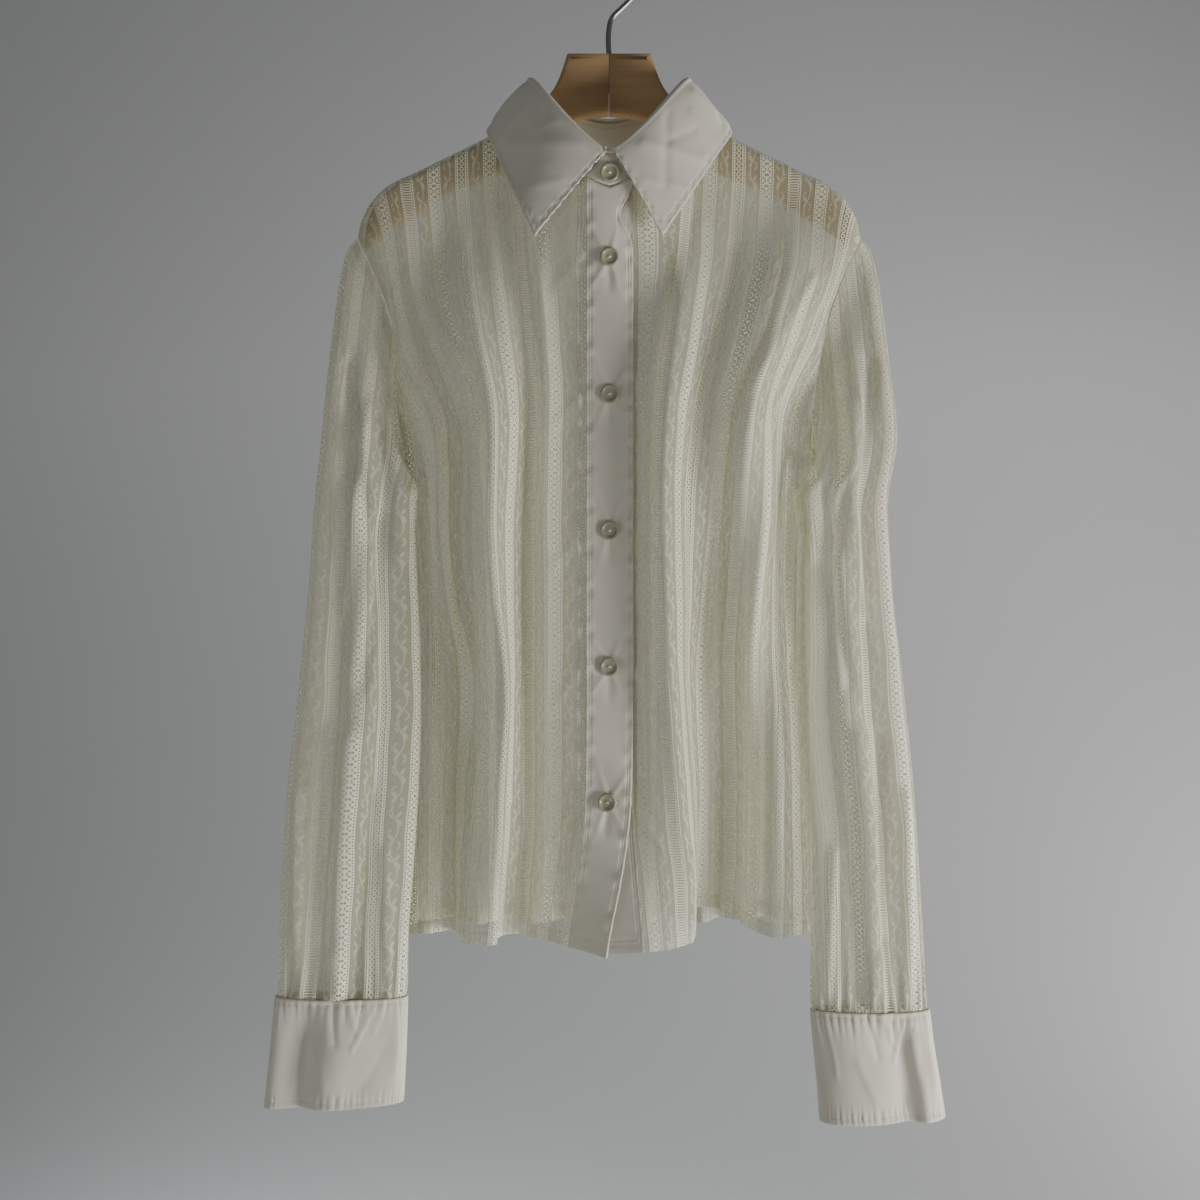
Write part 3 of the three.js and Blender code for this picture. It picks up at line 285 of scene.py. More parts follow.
def curve(rows, x, column=1):
    """Smooth value of a column of a table at x, where the first column rises."""
    table = np.asarray(rows, float)
    xs, ys = table[:, 0], table[:, column]
    slopes = np.gradient(ys)
    slopes[1:-1] = (ys[2:] - ys[:-2]) / (xs[2:] - xs[:-2])
    slopes[0] = (ys[1] - ys[0]) / (xs[1] - xs[0])
    slopes[-1] = (ys[-1] - ys[-2]) / (xs[-1] - xs[-2])
    at = np.clip(x, xs[0], xs[-1])
    k = np.clip(np.searchsorted(xs, at, side="right") - 1, 0, len(xs) - 2)
    span = xs[k + 1] - xs[k]
    t = (at - xs[k]) / span
    start = (1 + 2 * t) * (1 - t) ** 2 * ys[k] + t * (1 - t) ** 2 * span * slopes[k]
    end = t * t * (3 - 2 * t) * ys[k + 1] + t * t * (t - 1) * span * slopes[k + 1]
    return start + end


def soft(t):
    """0 before 0, 1 after 1 and a soft step between."""
    t = np.clip(t, 0, 1)
    return t * t * (3 - 2 * t)


def hump(x, width):
    """A bell of height 1 about 0."""
    return np.exp(-((x / width) ** 2))


def ripple(at, *waves):
    """Sum of sine waves, each with its size, its length and where it starts."""
    return sum(size * np.sin(at / length + start) for size, length, start in waves)


def mix(a, b, t):
    """A value a share of the way from a to b."""
    return a + (b - a) * t


def stack(x, y, down):
    """Points from x, y and the distance down."""
    x, y, down = np.broadcast_arrays(x, y, down)
    return np.stack([x, y, -down], axis=-1).astype(float)


def neck_angle(cloth, depth):
    """Angle round the neck that the cloth reaches."""
    plan = cloth + 30 * soft((np.abs(cloth) - 18) / (NECK_CLOTH - 18)) * np.sign(cloth)
    angle = np.zeros_like(plan)
    for _ in range(40):
        angle = angle + plan / 40 / np.hypot(NECK_HALF * np.cos(angle), depth * np.sin(angle))
    return np.minimum(angle, math.pi / 2)


def neck_down(angle, face):
    """Height of the neck seam, low in front and at the back."""
    rise = np.abs(np.sin(angle)) ** 1.3
    rounded = NECK_FRONT_DOWN - 3 * hump(np.degrees(angle), 9)
    return mix(rounded if face < 0 else NECK_BACK_DOWN, NECK_SIDE_DOWN, rise)


def armhole(side, face, degrees):
    """Armhole loop as x, y and down: 0 degrees at the shoulder tip, 180 at the armpit."""
    angle = np.radians(degrees)
    rise = (1 + np.cos(angle)) / 2
    depth, scoop = ARMHOLE_SHAPES[face]
    x = side * (mix(ARMPIT_X, SHOULDER_TIP, rise) - scoop * np.sin(angle) ** 2)
    y = mix(ARMPIT_Y, 0, rise) + face * (depth * np.sin(angle) + SEAM / 2)
    return x, y, mix(ARMPIT_DOWN, SHOULDER_TIP_DOWN, rise)


def narrowed(cloth, width):
    """Cloth above the armpit is taken in at its outer part only."""
    taken = FREE_CLOTH + (cloth - FREE_CLOTH) * (width - FREE_CLOTH) / (HALF_CHEST - FREE_CLOTH)
    return np.where(cloth < FREE_CLOTH, cloth, taken)


def eased(field):
    """Rows averaged with their neighbours, so that folds change slowly with height."""
    reach = 9
    weights = hump(np.arange(-reach, reach + 1), 4.0)
    padded = np.pad(field, ((reach, reach), (0, 0)), mode="reflect", reflect_type="odd")
    rows = len(field)
    return sum(w * padded[k:k + rows] for k, w in enumerate(weights)) / weights.sum()


class HalfPanel:
    """Half of the front or back, hung in folds from its middle out to its side seam."""

    def __init__(self, side, face, runs, middle, hem, neck_y, start):
        self.side, self.face, self.hem, self.neck_y, self.start = side, face, hem, neck_y, start
        self.downs = np.arange(HANG_FROM, HANG_TO, HANG_STEP)
        self.cloths = np.arange(CLOTH_FROM, HALF_CHEST + 0.1, CLOTH_STEP)
        table = np.array(runs, float)
        levels = np.array(LEVELS, float)
        turns = [curve(np.column_stack([levels, row[1:]]), self.downs) for row in table]
        turn = np.repeat(turns[0][:, None], len(self.cloths), axis=1)
        for k, border in enumerate(np.cumsum(table[:-1, 0])):
            share = soft((self.cloths - border) / FOLD_SOFTNESS + 0.5)
            turn = turn + (turns[k + 1] - turns[k])[:, None] * share[None, :]
        turn = np.radians((turn[:, 1:] + turn[:, :-1]) / 2)
        middle_x, middle_y = curve(middle, self.downs), curve(middle, self.downs, 2)
        goal = curve(SIDE_SEAM, self.downs) - side * middle_x
        low, high = np.zeros_like(goal), np.full_like(goal, 1.5)
        for _ in range(18):
            strength = (low + high) / 2
            reach = self.walk(turn, strength)[0][:, -1]
            low = np.where(reach > goal, strength, low)
            high = np.where(reach > goal, high, strength)
        out, inward = self.walk(turn, strength)
        seam_y = curve(SIDE_SEAM, self.downs, 2) + face * SEAM / 2
        lean = ((seam_y - middle_y) * -face - inward[:, -1]) / (HALF_CHEST - BAND_HALF)
        past_band = np.maximum(self.cloths - BAND_HALF, 0)
        self.x = eased(middle_x[:, None] + side * out)
        self.y = eased(middle_y[:, None] - face * (inward + lean[:, None] * past_band))

    def walk(self, turn, strength):
        """Where the cloth gets to along its width, its turns scaled by a strength."""
        angle = np.minimum(turn * strength[:, None], STEEPEST)
        none = np.zeros((len(strength), 1))
        out = np.hstack([none, np.cumsum(np.cos(angle), axis=1)])
        inward = np.hstack([none, np.cumsum(np.sin(angle), axis=1)])
        middle = np.argmin(np.abs(self.cloths))
        return out - out[:, middle, None], inward - inward[:, middle, None]

    def hang(self, cloth, down):
        """Plan position of the cloth at a height."""
        cloth, down = np.broadcast_arrays(cloth, down)
        a = np.clip((down - HANG_FROM) / HANG_STEP, 0, len(self.downs) - 1.001)
        b = np.clip((cloth - CLOTH_FROM) / CLOTH_STEP, 0, len(self.cloths) - 1.001)
        j, i = a.astype(int), b.astype(int)
        s, t = a - j, b - i
        found = []
        for field in (self.x, self.y):
            low = field[j, i] * (1 - t) + field[j, i + 1] * t
            high = field[j + 1, i] * (1 - t) + field[j + 1, i + 1] * t
            found.append(low * (1 - s) + high * s)
        return found

    def top(self, cloth):
        """Top edge: round the neck, then along the shoulder."""
        angle = neck_angle(np.minimum(cloth, NECK_CLOTH), abs(self.neck_y))
        share = (cloth - NECK_CLOTH) / (SHOULDER_CLOTH - NECK_CLOTH)
        x = mix(NECK_HALF, SHOULDER_TIP, share)
        at_neck = cloth < NECK_CLOTH
        return (
            self.side * np.where(at_neck, NECK_HALF * np.sin(angle), x),
            np.where(at_neck, self.neck_y * np.cos(angle), 0) + self.face * SEAM / 2,
            np.where(at_neck, neck_down(angle, self.face), curve(SHOULDER_LINE, x)),
        )

    def loose(self, full, width, down):
        """Points before the edge is brought to the armhole."""
        top_cloth = narrowed(full, SHOULDER_CLOTH)
        top_x, top_y, top_down = self.top(top_cloth)
        x, y = self.hang(narrowed(full, width), down)
        above_x, above_y = self.hang(top_cloth, top_down)
        below = np.maximum(down - top_down, 0)
        hold = 1 - soft(below / mix(SHOULDER_HOLD, SIDE_HOLD, full / HALF_CHEST))
        wrap = np.sqrt(1 - (1 - np.minimum(below / 7, 1)) ** 2) * CLOTH_OVER_WOOD
        forward = self.face * (y + (top_y - above_y) * hold)
        draped = np.hypot(np.maximum(forward, 0), wrap)
        y = self.face * mix(draped, forward, soft((below - 30) / 60))
        return stack(x + (top_x - above_x) * hold, y, down)

    def grid(self, across, below, above):
        """Points, cloth, down and distance from the hem and side edges, rows from the hem up."""
        share = np.linspace(0, 1, across)[None, :]
        full = mix(self.start, HALF_CHEST, share)
        hem_edge = float(curve(self.hem, HALF_CHEST))
        degrees = np.linspace(180, 0, above)
        armhole_rows = armhole(self.side, self.face, degrees)
        edge = np.concatenate([np.linspace(hem_edge, ARMPIT_DOWN, below, endpoint=False), armhole_rows[2]])
        width = curve(ARMHOLE_CLOTH, edge)[:, None]
        rise = ((hem_edge - edge) / (hem_edge - SHOULDER_TIP_DOWN))[:, None]
        hem = curve(self.hem, full)
        down = mix(hem, self.top(narrowed(full, SHOULDER_CLOTH))[2], rise)
        points = self.loose(np.broadcast_to(full, down.shape), width, down)
        edges = self.loose(np.full(len(edge), float(HALF_CHEST)), width[:, 0], edge)
        sharp = (4 + 20 * soft(1 - np.abs(edge - ARMPIT_DOWN) / 50))[:, None]
        for axis in (0, 1):
            pull = armhole_rows[axis] - edges[below:, axis]
            points[below:, :, axis] += pull[:, None] * share ** sharp[below:]
            fade = soft(1 - (edge[:below] - ARMPIT_DOWN) / 45)
            points[:below, :, axis] += pull[0] * fade[:, None] * share ** sharp[:below]
        cloth = narrowed(full, width) * np.ones_like(rise)
        from_hem = hem - down
        from_side = np.minimum((HALF_CHEST - full), (full - self.start) + 3) * np.ones_like(rise)
        return points, cloth, down, from_hem, from_side


def outward(points, ring=False):
    """Unit normals of a grid of points."""
    if ring:
        along = np.roll(points, -1, axis=1) - np.roll(points, 1, axis=1)
    else:
        along = np.gradient(points, axis=1)
    up = np.gradient(points, axis=0)
    normal = np.cross(along, up)
    return normal / np.maximum(np.linalg.norm(normal, axis=-1, keepdims=True), 1e-9)


def creases(table, across, down):
    """Soft ridges and troughs along short lines, as a rise off the cloth."""
    rise = np.zeros(np.broadcast(across, down).shape)
    for a0, d0, a1, d1, width, height in table:
        length = (a1 - a0) ** 2 + (d1 - d0) ** 2
        t = np.clip(((across - a0) * (a1 - a0) + (down - d0) * (d1 - d0)) / length, 0, 1)
        away = np.hypot(across - a0 - t * (a1 - a0), down - d0 - t * (d1 - d0))
        rise += height * hump(away, width)
    return rise


def quad_corners(rows, across, ring, closed):
    """Layer, row and column of each quad's corners, for a sheet or a closed shell."""
    last, top, end = (across if ring else across - 1), rows - 1, across - 1
    j, i = (part.ravel() for part in np.meshgrid(np.arange(top), np.arange(last), indexing="ij"))
    quads = [[(0, j, i), (0, j, i + 1), (0, j + 1, i + 1), (0, j + 1, i)]]
    if closed:
        quads.append([(1, j, i + 1), (1, j, i), (1, j + 1, i), (1, j + 1, i + 1)])
        i, j = np.arange(last), np.arange(top)
        quads.append([(1, 0, i), (1, 0, i + 1), (0, 0, i + 1), (0, 0, i)])
        quads.append([(0, top, i), (0, top, i + 1), (1, top, i + 1), (1, top, i)])
        if not ring:
            quads.append([(0, j, 0), (0, j + 1, 0), (1, j + 1, 0), (1, j, 0)])
            quads.append([(0, j + 1, end), (0, j, end), (1, j, end), (1, j + 1, end)])
    parts = [np.stack([np.stack(np.broadcast_arrays(*corner)) for corner in quad], axis=-1) for quad in quads]
    return np.concatenate(parts, axis=1)


def placed(name, data):
    """A new object in the scene."""
    piece = bpy.data.objects.new(name, data)
    bpy.context.scene.collection.objects.link(piece)
    return piece


def smoothed(mesh, material):
    """Gives a mesh its material and smooth shading."""
    mesh.materials.append(material)
    for face in mesh.polygons:
        face.use_smooth = True


def mesh_of(name, shape):
    """Mesh of a curve, whose own object is dropped."""
    holder = placed(name, shape)
    bpy.context.view_layer.update()
    mesh = bpy.data.meshes.new_from_object(holder.evaluated_get(bpy.context.evaluated_depsgraph_get()))
    bpy.data.objects.remove(holder)
    mesh.materials.clear()
    return mesh


def cloth_object(name, points, uv, marks, material, thickness=0.0, ring=False, flip=False):
    """Mesh object from a grid: one layer, or a closed shell where it has a thickness."""
    rows, across = points.shape[:2]
    layers = [points]
    if thickness:
        layers.append(points - outward(points, ring) * (-thickness if flip else thickness))
    layer, row, column = quad_corners(rows, across, ring, bool(thickness))
    if flip:
        layer, row, column = (part[:, ::-1] for part in (layer, row, column))
    vertices = layer * rows * across + row * across + column % across
    mesh = bpy.data.meshes.new(name)
    mesh.vertices.add(len(layers) * rows * across)
    mesh.vertices.foreach_set("co", (np.concatenate([p.reshape(-1, 3) for p in layers]) * MM).ravel())
    mesh.loops.add(vertices.size)
    mesh.loops.foreach_set("vertex_index", vertices.ravel().astype(np.int32))
    mesh.polygons.add(len(vertices))
    mesh.polygons.foreach_set("loop_start", np.arange(0, vertices.size, 4, dtype=np.int32))
    mesh.polygons.foreach_set("use_smooth", np.ones(len(vertices), bool))
    layer_uv = mesh.uv_layers.new(name="Cloth")
    coordinates = np.stack([uv[0][row, column], uv[1][row, column]], axis=-1)
    layer_uv.data.foreach_set("uv", (coordinates * MM).ravel())
    for mark, values in marks.items():
        attribute = mesh.attributes.new(mark, "FLOAT", "POINT")
        attribute.data.foreach_set("value", np.tile(values[:, :across].ravel(), len(layers)))
    mesh.update()
    mesh.validate()
    mesh.materials.append(material)
    return placed(name, mesh)


def dress(piece, slot, *nodes):
    """The piece rides on the one body and stands for its solids. Its slot is not used."""
    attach(piece, "root")
    if nodes:
        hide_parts(*nodes)
    return piece


# Shader work
class Recipe:
    """Adds nodes to one shader tree and joins them. Each sum gives its output socket."""

    def __init__(self, tree):
        self.tree = tree

    def add(self, kind, **settings):
        """A new node with its settings."""
        node = self.tree.nodes.new(kind)
        for key, value in settings.items():
            setattr(node, key, value)
        return node

    def join(self, value, socket):
        """Joins a socket to another, or sets it to a plain value."""
        if isinstance(value, bpy.types.NodeSocket):
            self.tree.links.new(value, socket)
        else:
            socket.default_value = value

    def math(self, operation, *values, clamp=False):
        """A sum of sockets or plain values."""
        node = self.add("ShaderNodeMath", operation=operation, use_clamp=clamp)
        for value, socket in zip(values, node.inputs):
            self.join(value, socket)
        return node.outputs[0]

    def below(self, value, edge, blur=0.35):
        """1 where the value is under an edge, with a soft border."""
        gap = self.math("SUBTRACT", edge, value)
        return self.math("MULTIPLY_ADD", gap, 1 / blur, 0.5, clamp=True)

    def repeat(self, value, half):
        """Distance from the nearest of marks that stand two halves apart."""
        return self.math("ABSOLUTE", self.math("WRAP", value, half, -half))

    def spot(self, x, y, centre, radii, blur=0.3):
        """1 inside an oval."""
        parts = []
        for value, middle, radius in zip((x, y), centre, radii):
            away = self.math("DIVIDE", self.math("SUBTRACT", value, middle), radius)
            parts.append(self.math("MULTIPLY", away, away))
        return self.below(self.math("SQRT", self.math("ADD", *parts)), 1.0, blur)

    def most(self, *values):
        """The largest of some values."""
        best = values[0]
        for value in values[1:]:
            best = self.math("MAXIMUM", best, value)
        return best

    def blend(self, share, low, high):
        """A colour a share of the way from low to high."""
        node = self.add("ShaderNodeMix", data_type="RGBA")
        self.join(share, node.inputs["Factor"])
        self.join(low, node.inputs[6])
        self.join(high, node.inputs[7])
        return node.outputs[2]

    def use(self, group, **values):
        """Places a node group and joins its inputs."""
        node = self.add("ShaderNodeGroup", node_tree=group)
        for key, value in values.items():
            self.join(value, node.inputs[key.replace("_", " ")])
        return node


def effect(name, inputs, outputs):
    """New shader node group with float or colour sockets, and its recipe."""
    group = bpy.data.node_groups.new(name, "ShaderNodeTree")
    for label, default in inputs.items():
        socket = group.interface.new_socket(label, in_out="INPUT", socket_type="NodeSocketFloat")
        socket.default_value = default
    for label in outputs:
        group.interface.new_socket(label, in_out="OUTPUT", socket_type="NodeSocketFloat")
    recipe = Recipe(group)
    entry = recipe.add("NodeGroupInput")
    end = recipe.add("NodeGroupOutput")
    return group, recipe, entry.outputs, end.inputs


def eyelet_holes(r, from_middle, along):
    """Pairs of eyelets with small holes between them."""
    row = r.repeat(along, 4)
    return r.most(
        r.spot(from_middle, row, (0.8, 0), (0.7, 0.95)),
        r.spot(from_middle, row, (2.3, 2.1), (0.65, 0.7)),
        r.spot(from_middle, row, (1.1, 3.4), (0.55, 0.55)),
    )


def insert_holes(r, from_middle, along, is_mesh):
    """A chain of rings, or a fine mesh of rungs."""
    ring_row = r.repeat(along, 1.9)
    squares = r.math("ADD", *(r.math("MULTIPLY", side, side) for side in (from_middle, ring_row)))
    off_ring = r.math("ABSOLUTE", r.math("SUBTRACT", r.math("SQRT", squares), 1.35))
    in_chain = r.below(from_middle, 2.4)
    rings = r.math("MULTIPLY", in_chain, r.math("SUBTRACT", 1, r.below(off_ring, 0.45)))
    in_mesh = r.below(from_middle, 3.0)
    mesh = r.math("MULTIPLY", in_mesh, r.below(r.repeat(along, 0.95), 0.5))
    return r.math("MULTIPLY_ADD", is_mesh, r.math("SUBTRACT", mesh, rings), rings)


def sprig_cover(r, from_eyelets, along):
    """Blossoms and leaves on a bending stem."""
    offset = r.math("SUBTRACT", from_eyelets, LACE_PITCH / 2)
    bend = r.math("SINE", r.math("MULTIPLY", along, 2 * math.pi / 30))
    blossom_row, leaf_row = r.repeat(along, 15), r.repeat(r.math("ADD", along, 4), 7.5)
    tilted = r.math("MULTIPLY_ADD", leaf_row, 0.55, offset)
    leaned = r.math("MULTIPLY_ADD", blossom_row, -0.4, offset)
    return r.most(
        r.below(r.math("ABSOLUTE", r.math("MULTIPLY_ADD", bend, -1.9, offset)), 0.4),
        r.spot(leaned, blossom_row, (0.6, 2.2), (0.9, 2.3)),
        r.spot(leaned, blossom_row, (-6.6, 12.5), (0.9, 2.4)),
        r.spot(tilted, leaf_row, (3.4, 2.2), (0.6, 1.9)),
        r.spot(tilted, leaf_row, (0.9, 5.8), (0.6, 1.7)),
    )


def lace_effect():
    """Striped lace from cloth coordinates: eyelet, ring and mesh bands, and sprigs on net between."""
    group, r, given, made = effect(
        "Lace Stripes", {"Across": 0.0, "Along": 0.0, "Net Opacity": 0.4}, ("Solid", "Opacity", "Height")
    )
    across, along = given["Across"], given["Along"]
    from_eyelets = r.repeat(across, LACE_PITCH)
    from_middle = r.math("MINIMUM", from_eyelets, r.math("SUBTRACT", LACE_PITCH, from_eyelets))
    is_eyelet = r.math("LESS_THAN", from_eyelets, LACE_PITCH / 2)
    every_second = r.repeat(r.math("SUBTRACT", across, LACE_PITCH), 2 * LACE_PITCH)
    is_mesh = r.math("LESS_THAN", every_second, LACE_PITCH)
    in_band = r.below(from_middle, LACE_BAND)
    pins = r.spot(from_middle, r.repeat(along, 1.05), (3.9, 0), (0.55, 0.6))
    eyelets = eyelet_holes(r, from_middle, along)
    insert = insert_holes(r, from_middle, along, is_mesh)
    open_part = r.math("MULTIPLY_ADD", is_eyelet, r.math("SUBTRACT", eyelets, insert), insert)
    holes = r.most(pins, open_part)
    band = r.math("MULTIPLY", in_band, r.math("MULTIPLY_ADD", holes, -0.85, 1.0))
    sprigs = r.math("MULTIPLY", sprig_cover(r, from_eyelets, along), r.math("SUBTRACT", 1, in_band))
    net = r.math("MULTIPLY", r.math("SUBTRACT", 1, in_band), given["Net Opacity"])
    seen = r.math("ADD", band, r.math("MULTIPLY_ADD", sprigs, 0.26, net), clamp=True)
    r.join(seen, made["Opacity"])
    r.join(r.math("MULTIPLY_ADD", sprigs, 0.55, band), made["Solid"])
    cord = r.below(r.math("ABSOLUTE", r.math("SUBTRACT", from_middle, 4.7)), 0.5)
    r.join(r.math("MULTIPLY_ADD", cord, 0.6, r.math("MULTIPLY", in_band, 0.5)), made["Height"])
    return group


def stitch_effect():
    """A row of stitches at an inset from an edge."""
    group, r, given, made = effect(
        "Stitches", {"Edge": 100.0, "Along": 0.0, "Inset": 4.0}, ("Thread", "Height")
    )
    line = r.below(r.math("ABSOLUTE", r.math("SUBTRACT", given["Edge"], given["Inset"])), 0.45)
    dash = r.below(r.repeat(given["Along"], 1.5), 1.1)
    r.join(r.math("MULTIPLY", line, dash), made["Thread"])
    dip = r.below(r.math("ABSOLUTE", r.math("SUBTRACT", given["Edge"], given["Inset"])), 1.4, 1.5)
    r.join(r.math("SUBTRACT", r.math("MULTIPLY", line, r.math("MULTIPLY", dash, 0.9)), dip), made["Height"])
    return group


def mottle_effect():
    """Slow uneven tone, about 1."""
    group, r, given, made = effect("Mottle", {"Scale": 20.0, "Amount": 0.1}, ("Tone",))
    place = r.add("ShaderNodeTexCoord")
    noise = r.add("ShaderNodeTexNoise")
    r.join(place.outputs["Object"], noise.inputs["Vector"])
    r.join(given["Scale"], noise.inputs["Scale"])
    noise.inputs["Detail"].default_value = 4
    swing = r.math("MULTIPLY", r.math("SUBTRACT", noise.outputs["Fac"], 0.5), given["Amount"])
    r.join(r.math("MULTIPLY_ADD", swing, 2.0, 1.0), made["Tone"])
    return group


def new_material(name, roughness, metallic=0.0, sheen=0.0, coat=0.0):
    """A material, its recipe and its shader."""
    material = bpy.data.materials.new(name)
    material.use_nodes = True
    shader = material.node_tree.nodes["Principled BSDF"]
    shader.inputs["Roughness"].default_value = roughness
    shader.inputs["Metallic"].default_value = metallic
    shader.inputs["Sheen Weight"].default_value = sheen
    shader.inputs["Coat Weight"].default_value = coat
    return material, Recipe(material.node_tree), shader


def cloth_place(recipe):
    """Across and along the cloth in millimetres, and the marks of its edges."""
    place = recipe.add("ShaderNodeUVMap", uv_map="Cloth")
    split = recipe.add("ShaderNodeSeparateXYZ")
    recipe.join(place.outputs["UV"], split.inputs[0])
    across = recipe.math("MULTIPLY", split.outputs["X"], 1000)
    along = recipe.math("MULTIPLY", split.outputs["Y"], 1000)
    edge = recipe.add("ShaderNodeAttribute", attribute_name="edge").outputs["Fac"]
    # The doubled_and_shade mark says where lace lies double, and on cotton how much painted shade it gets.
    doubled_and_shade = recipe.add("ShaderNodeAttribute", attribute_name="doubled_and_shade").outputs["Fac"]
    return across, along, edge, doubled_and_shade


def bumped(recipe, height, shader, strength, distance):
    """Joins a height in millimetres to the normal of a shader."""
    bump = recipe.add("ShaderNodeBump")
    bump.inputs["Strength"].default_value = strength
    bump.inputs["Distance"].default_value = distance * MM
    recipe.join(height, bump.inputs["Height"])
    recipe.join(bump.outputs["Normal"], shader.inputs["Normal"])


def toned(recipe, colour, tone):
    """A colour scaled by a tone."""
    node = recipe.add("ShaderNodeMix", data_type="RGBA", blend_type="MULTIPLY")
    node.inputs["Factor"].default_value = 1
    recipe.join(colour, node.inputs[6])
    grey = recipe.add("ShaderNodeCombineColor")
    for socket in grey.inputs[:3]:
        recipe.join(tone, socket)
    recipe.join(grey.outputs[0], node.inputs[7])
    return node.outputs[2]


class Finishes:
    """Materials of the shirt and its hanger, made once from the settings."""

    def __init__(self, settings):
        self.stitches, self.mottle = stitch_effect(), mottle_effect()
        self.lace = self.make_lace(settings, lace_effect())
        self.cotton = self.make_cotton(settings)
        self.thread, _, shader = new_material("Thread", 0.8, sheen=0.2)
        shader.inputs["Base Color"].default_value = (*settings.thread_colour, 1)
        self.button = self.make_button(settings)
        self.wood = self.make_wood(settings)
        self.steel, recipe, shader = new_material("Hook Steel", 0.32, metallic=1.0)
        tone = recipe.use(self.mottle, Scale=120.0, Amount=0.12).outputs["Tone"]
        recipe.join(toned(recipe, (*settings.steel_colour, 1), tone), shader.inputs["Base Color"])

    def make_lace(self, settings, group):
        """Lace that is see-through in its holes and net, and less so where it lies double."""
        material, r, shader = new_material("Lace", 0.88, sheen=0.25)
        across, along, edge, doubled_and_shade = cloth_place(r)
        lace = r.use(group, Across=across, Along=along, Net_Opacity=settings.net_opacity)
        sewn = r.use(self.stitches, Edge=edge, Along=r.math("ADD", across, along), Inset=HEM_DEPTH - 1.0)
        solid, opacity = lace.outputs["Solid"], lace.outputs["Opacity"]
        colour = r.blend(solid, (*settings.net_colour, 1), (*settings.lace_colour, 1))
        r.join(colour, shader.inputs["Base Color"])
        r.join(r.math("MULTIPLY_ADD", solid, -0.32, 0.9), shader.inputs["Roughness"])
        second = r.math("MULTIPLY", r.math("SUBTRACT", 1, opacity), opacity)
        seen = r.math("ADD", opacity, r.math("MULTIPLY", second, doubled_and_shade))
        r.join(r.math("MAXIMUM", seen, sewn.outputs["Thread"]), shader.inputs["Alpha"])
        bumped(r, r.math("ADD", lace.outputs["Height"], sewn.outputs["Height"]), shader, 0.5, 0.6)
        return material

    def make_cotton(self, settings):
        """Plain woven cotton with a row of stitches along its edges, darkened by painted shade where its mark
        asks.
        """
        material, r, shader = new_material("Cotton", 0.82, sheen=0.25)
        across, along, edge, doubled_and_shade = cloth_place(r)
        sewn = r.use(self.stitches, Edge=edge, Along=r.math("ADD", across, along))
        sewn.inputs["Inset"].default_value = 4.0
        warp = r.math("SINE", r.math("MULTIPLY", across, 2 * math.pi / 0.9))
        weft = r.math("SINE", r.math("MULTIPLY", along, 2 * math.pi / 0.9))
        weave = r.math("MULTIPLY", r.math("MULTIPLY", warp, weft), 0.1)
        tone = r.use(self.mottle, Scale=40.0, Amount=0.05).outputs["Tone"]
        # Painted shade: the doubled_and_shade mark darkens the cotton's colour; only the underlap carries it.
        shade = r.math("SUBTRACT", tone, r.math("MULTIPLY", doubled_and_shade, 0.08))
        r.join(toned(r, (*settings.cotton_colour, 1), shade), shader.inputs["Base Color"])
        bumped(r, r.math("ADD", weave, sewn.outputs["Height"]), shader, 0.6, 0.5)
        return material

    def make_button(self, settings):
        """Glossy buttons of an uneven tone."""
        material, r, shader = new_material("Button", 0.24, coat=0.5)
        tone = r.use(self.mottle, Scale=160.0, Amount=0.35).outputs["Tone"]
        r.join(toned(r, (*settings.button_colour, 1), tone), shader.inputs["Base Color"])
        return material

    def make_wood(self, settings):
        """Wood with its grain along the hanger."""
        material, r, shader = new_material("Hanger Wood", 0.55, coat=0.08)
        place = r.add("ShaderNodeTexCoord")
        stretch = r.add("ShaderNodeMapping")
        stretch.inputs["Scale"].default_value = (14, 160, 160)
        r.join(place.outputs["Object"], stretch.inputs["Vector"])
        grain = r.add("ShaderNodeTexNoise")
        grain.inputs["Scale"].default_value = 1.0
        grain.inputs["Detail"].default_value = 6
        r.join(stretch.outputs[0], grain.inputs["Vector"])
        streak = r.math("MULTIPLY_ADD", r.math("SUBTRACT", grain.outputs["Fac"], 0.5), 3.0, 0.5, clamp=True)
        colour = r.blend(streak, (*settings.wood_dark, 1), (*settings.wood_colour, 1))
        tone = r.use(self.mottle, Scale=9.0, Amount=0.1).outputs["Tone"]
        r.join(toned(r, colour, tone), shader.inputs["Base Color"])
        bumped(r, streak, shader, 0.15, 0.3)
        return material


FINISHES = {}


def finish_of(context, name):
    """A material of the set, which is made on first use."""
    if "set" not in FINISHES:
        FINISHES["set"] = Finishes(context.scene.lace_shirt)
    return getattr(FINISHES["set"], name)


# Pieces
FRONT_RIGHT = HalfPanel(
    -1, -1, FRONT_RIGHT_RUNS, FRONT_RIGHT_MIDDLE, FRONT_RIGHT_HEM, -NECK_FRONT, BAND_HALF
)
FRONT_LEFT = HalfPanel(
    1, -1, FRONT_LEFT_RUNS, FRONT_LEFT_MIDDLE, FRONT_LEFT_HEM, 2.8 - NECK_FRONT, BAND_HALF
)
BACK_RIGHT = HalfPanel(-1, 1, BACK_RIGHT_RUNS, BACK_MIDDLE, BACK_HEM, NECK_BACK, 0)
BACK_LEFT = HalfPanel(1, 1, BACK_LEFT_RUNS, BACK_MIDDLE, BACK_HEM, NECK_BACK, 0)


def lace_marks(from_hem, from_side):
    """Where the lace lies double: its hem and its seam allowances."""
    hem = soft((HEM_DEPTH - from_hem) / 1.5 + 0.5)
    seam = soft((7 - from_side) / 1.5 + 0.5)
    return {"doubled_and_shade": np.maximum(hem, seam), "edge": np.where(from_hem < 40, from_hem, 100.0)}


def drift(down):
    """Slow sideways drift of the stripes along the cloth."""
    return ripple(down, (0.5, 23, 0), (0.3, 9.7, 0))


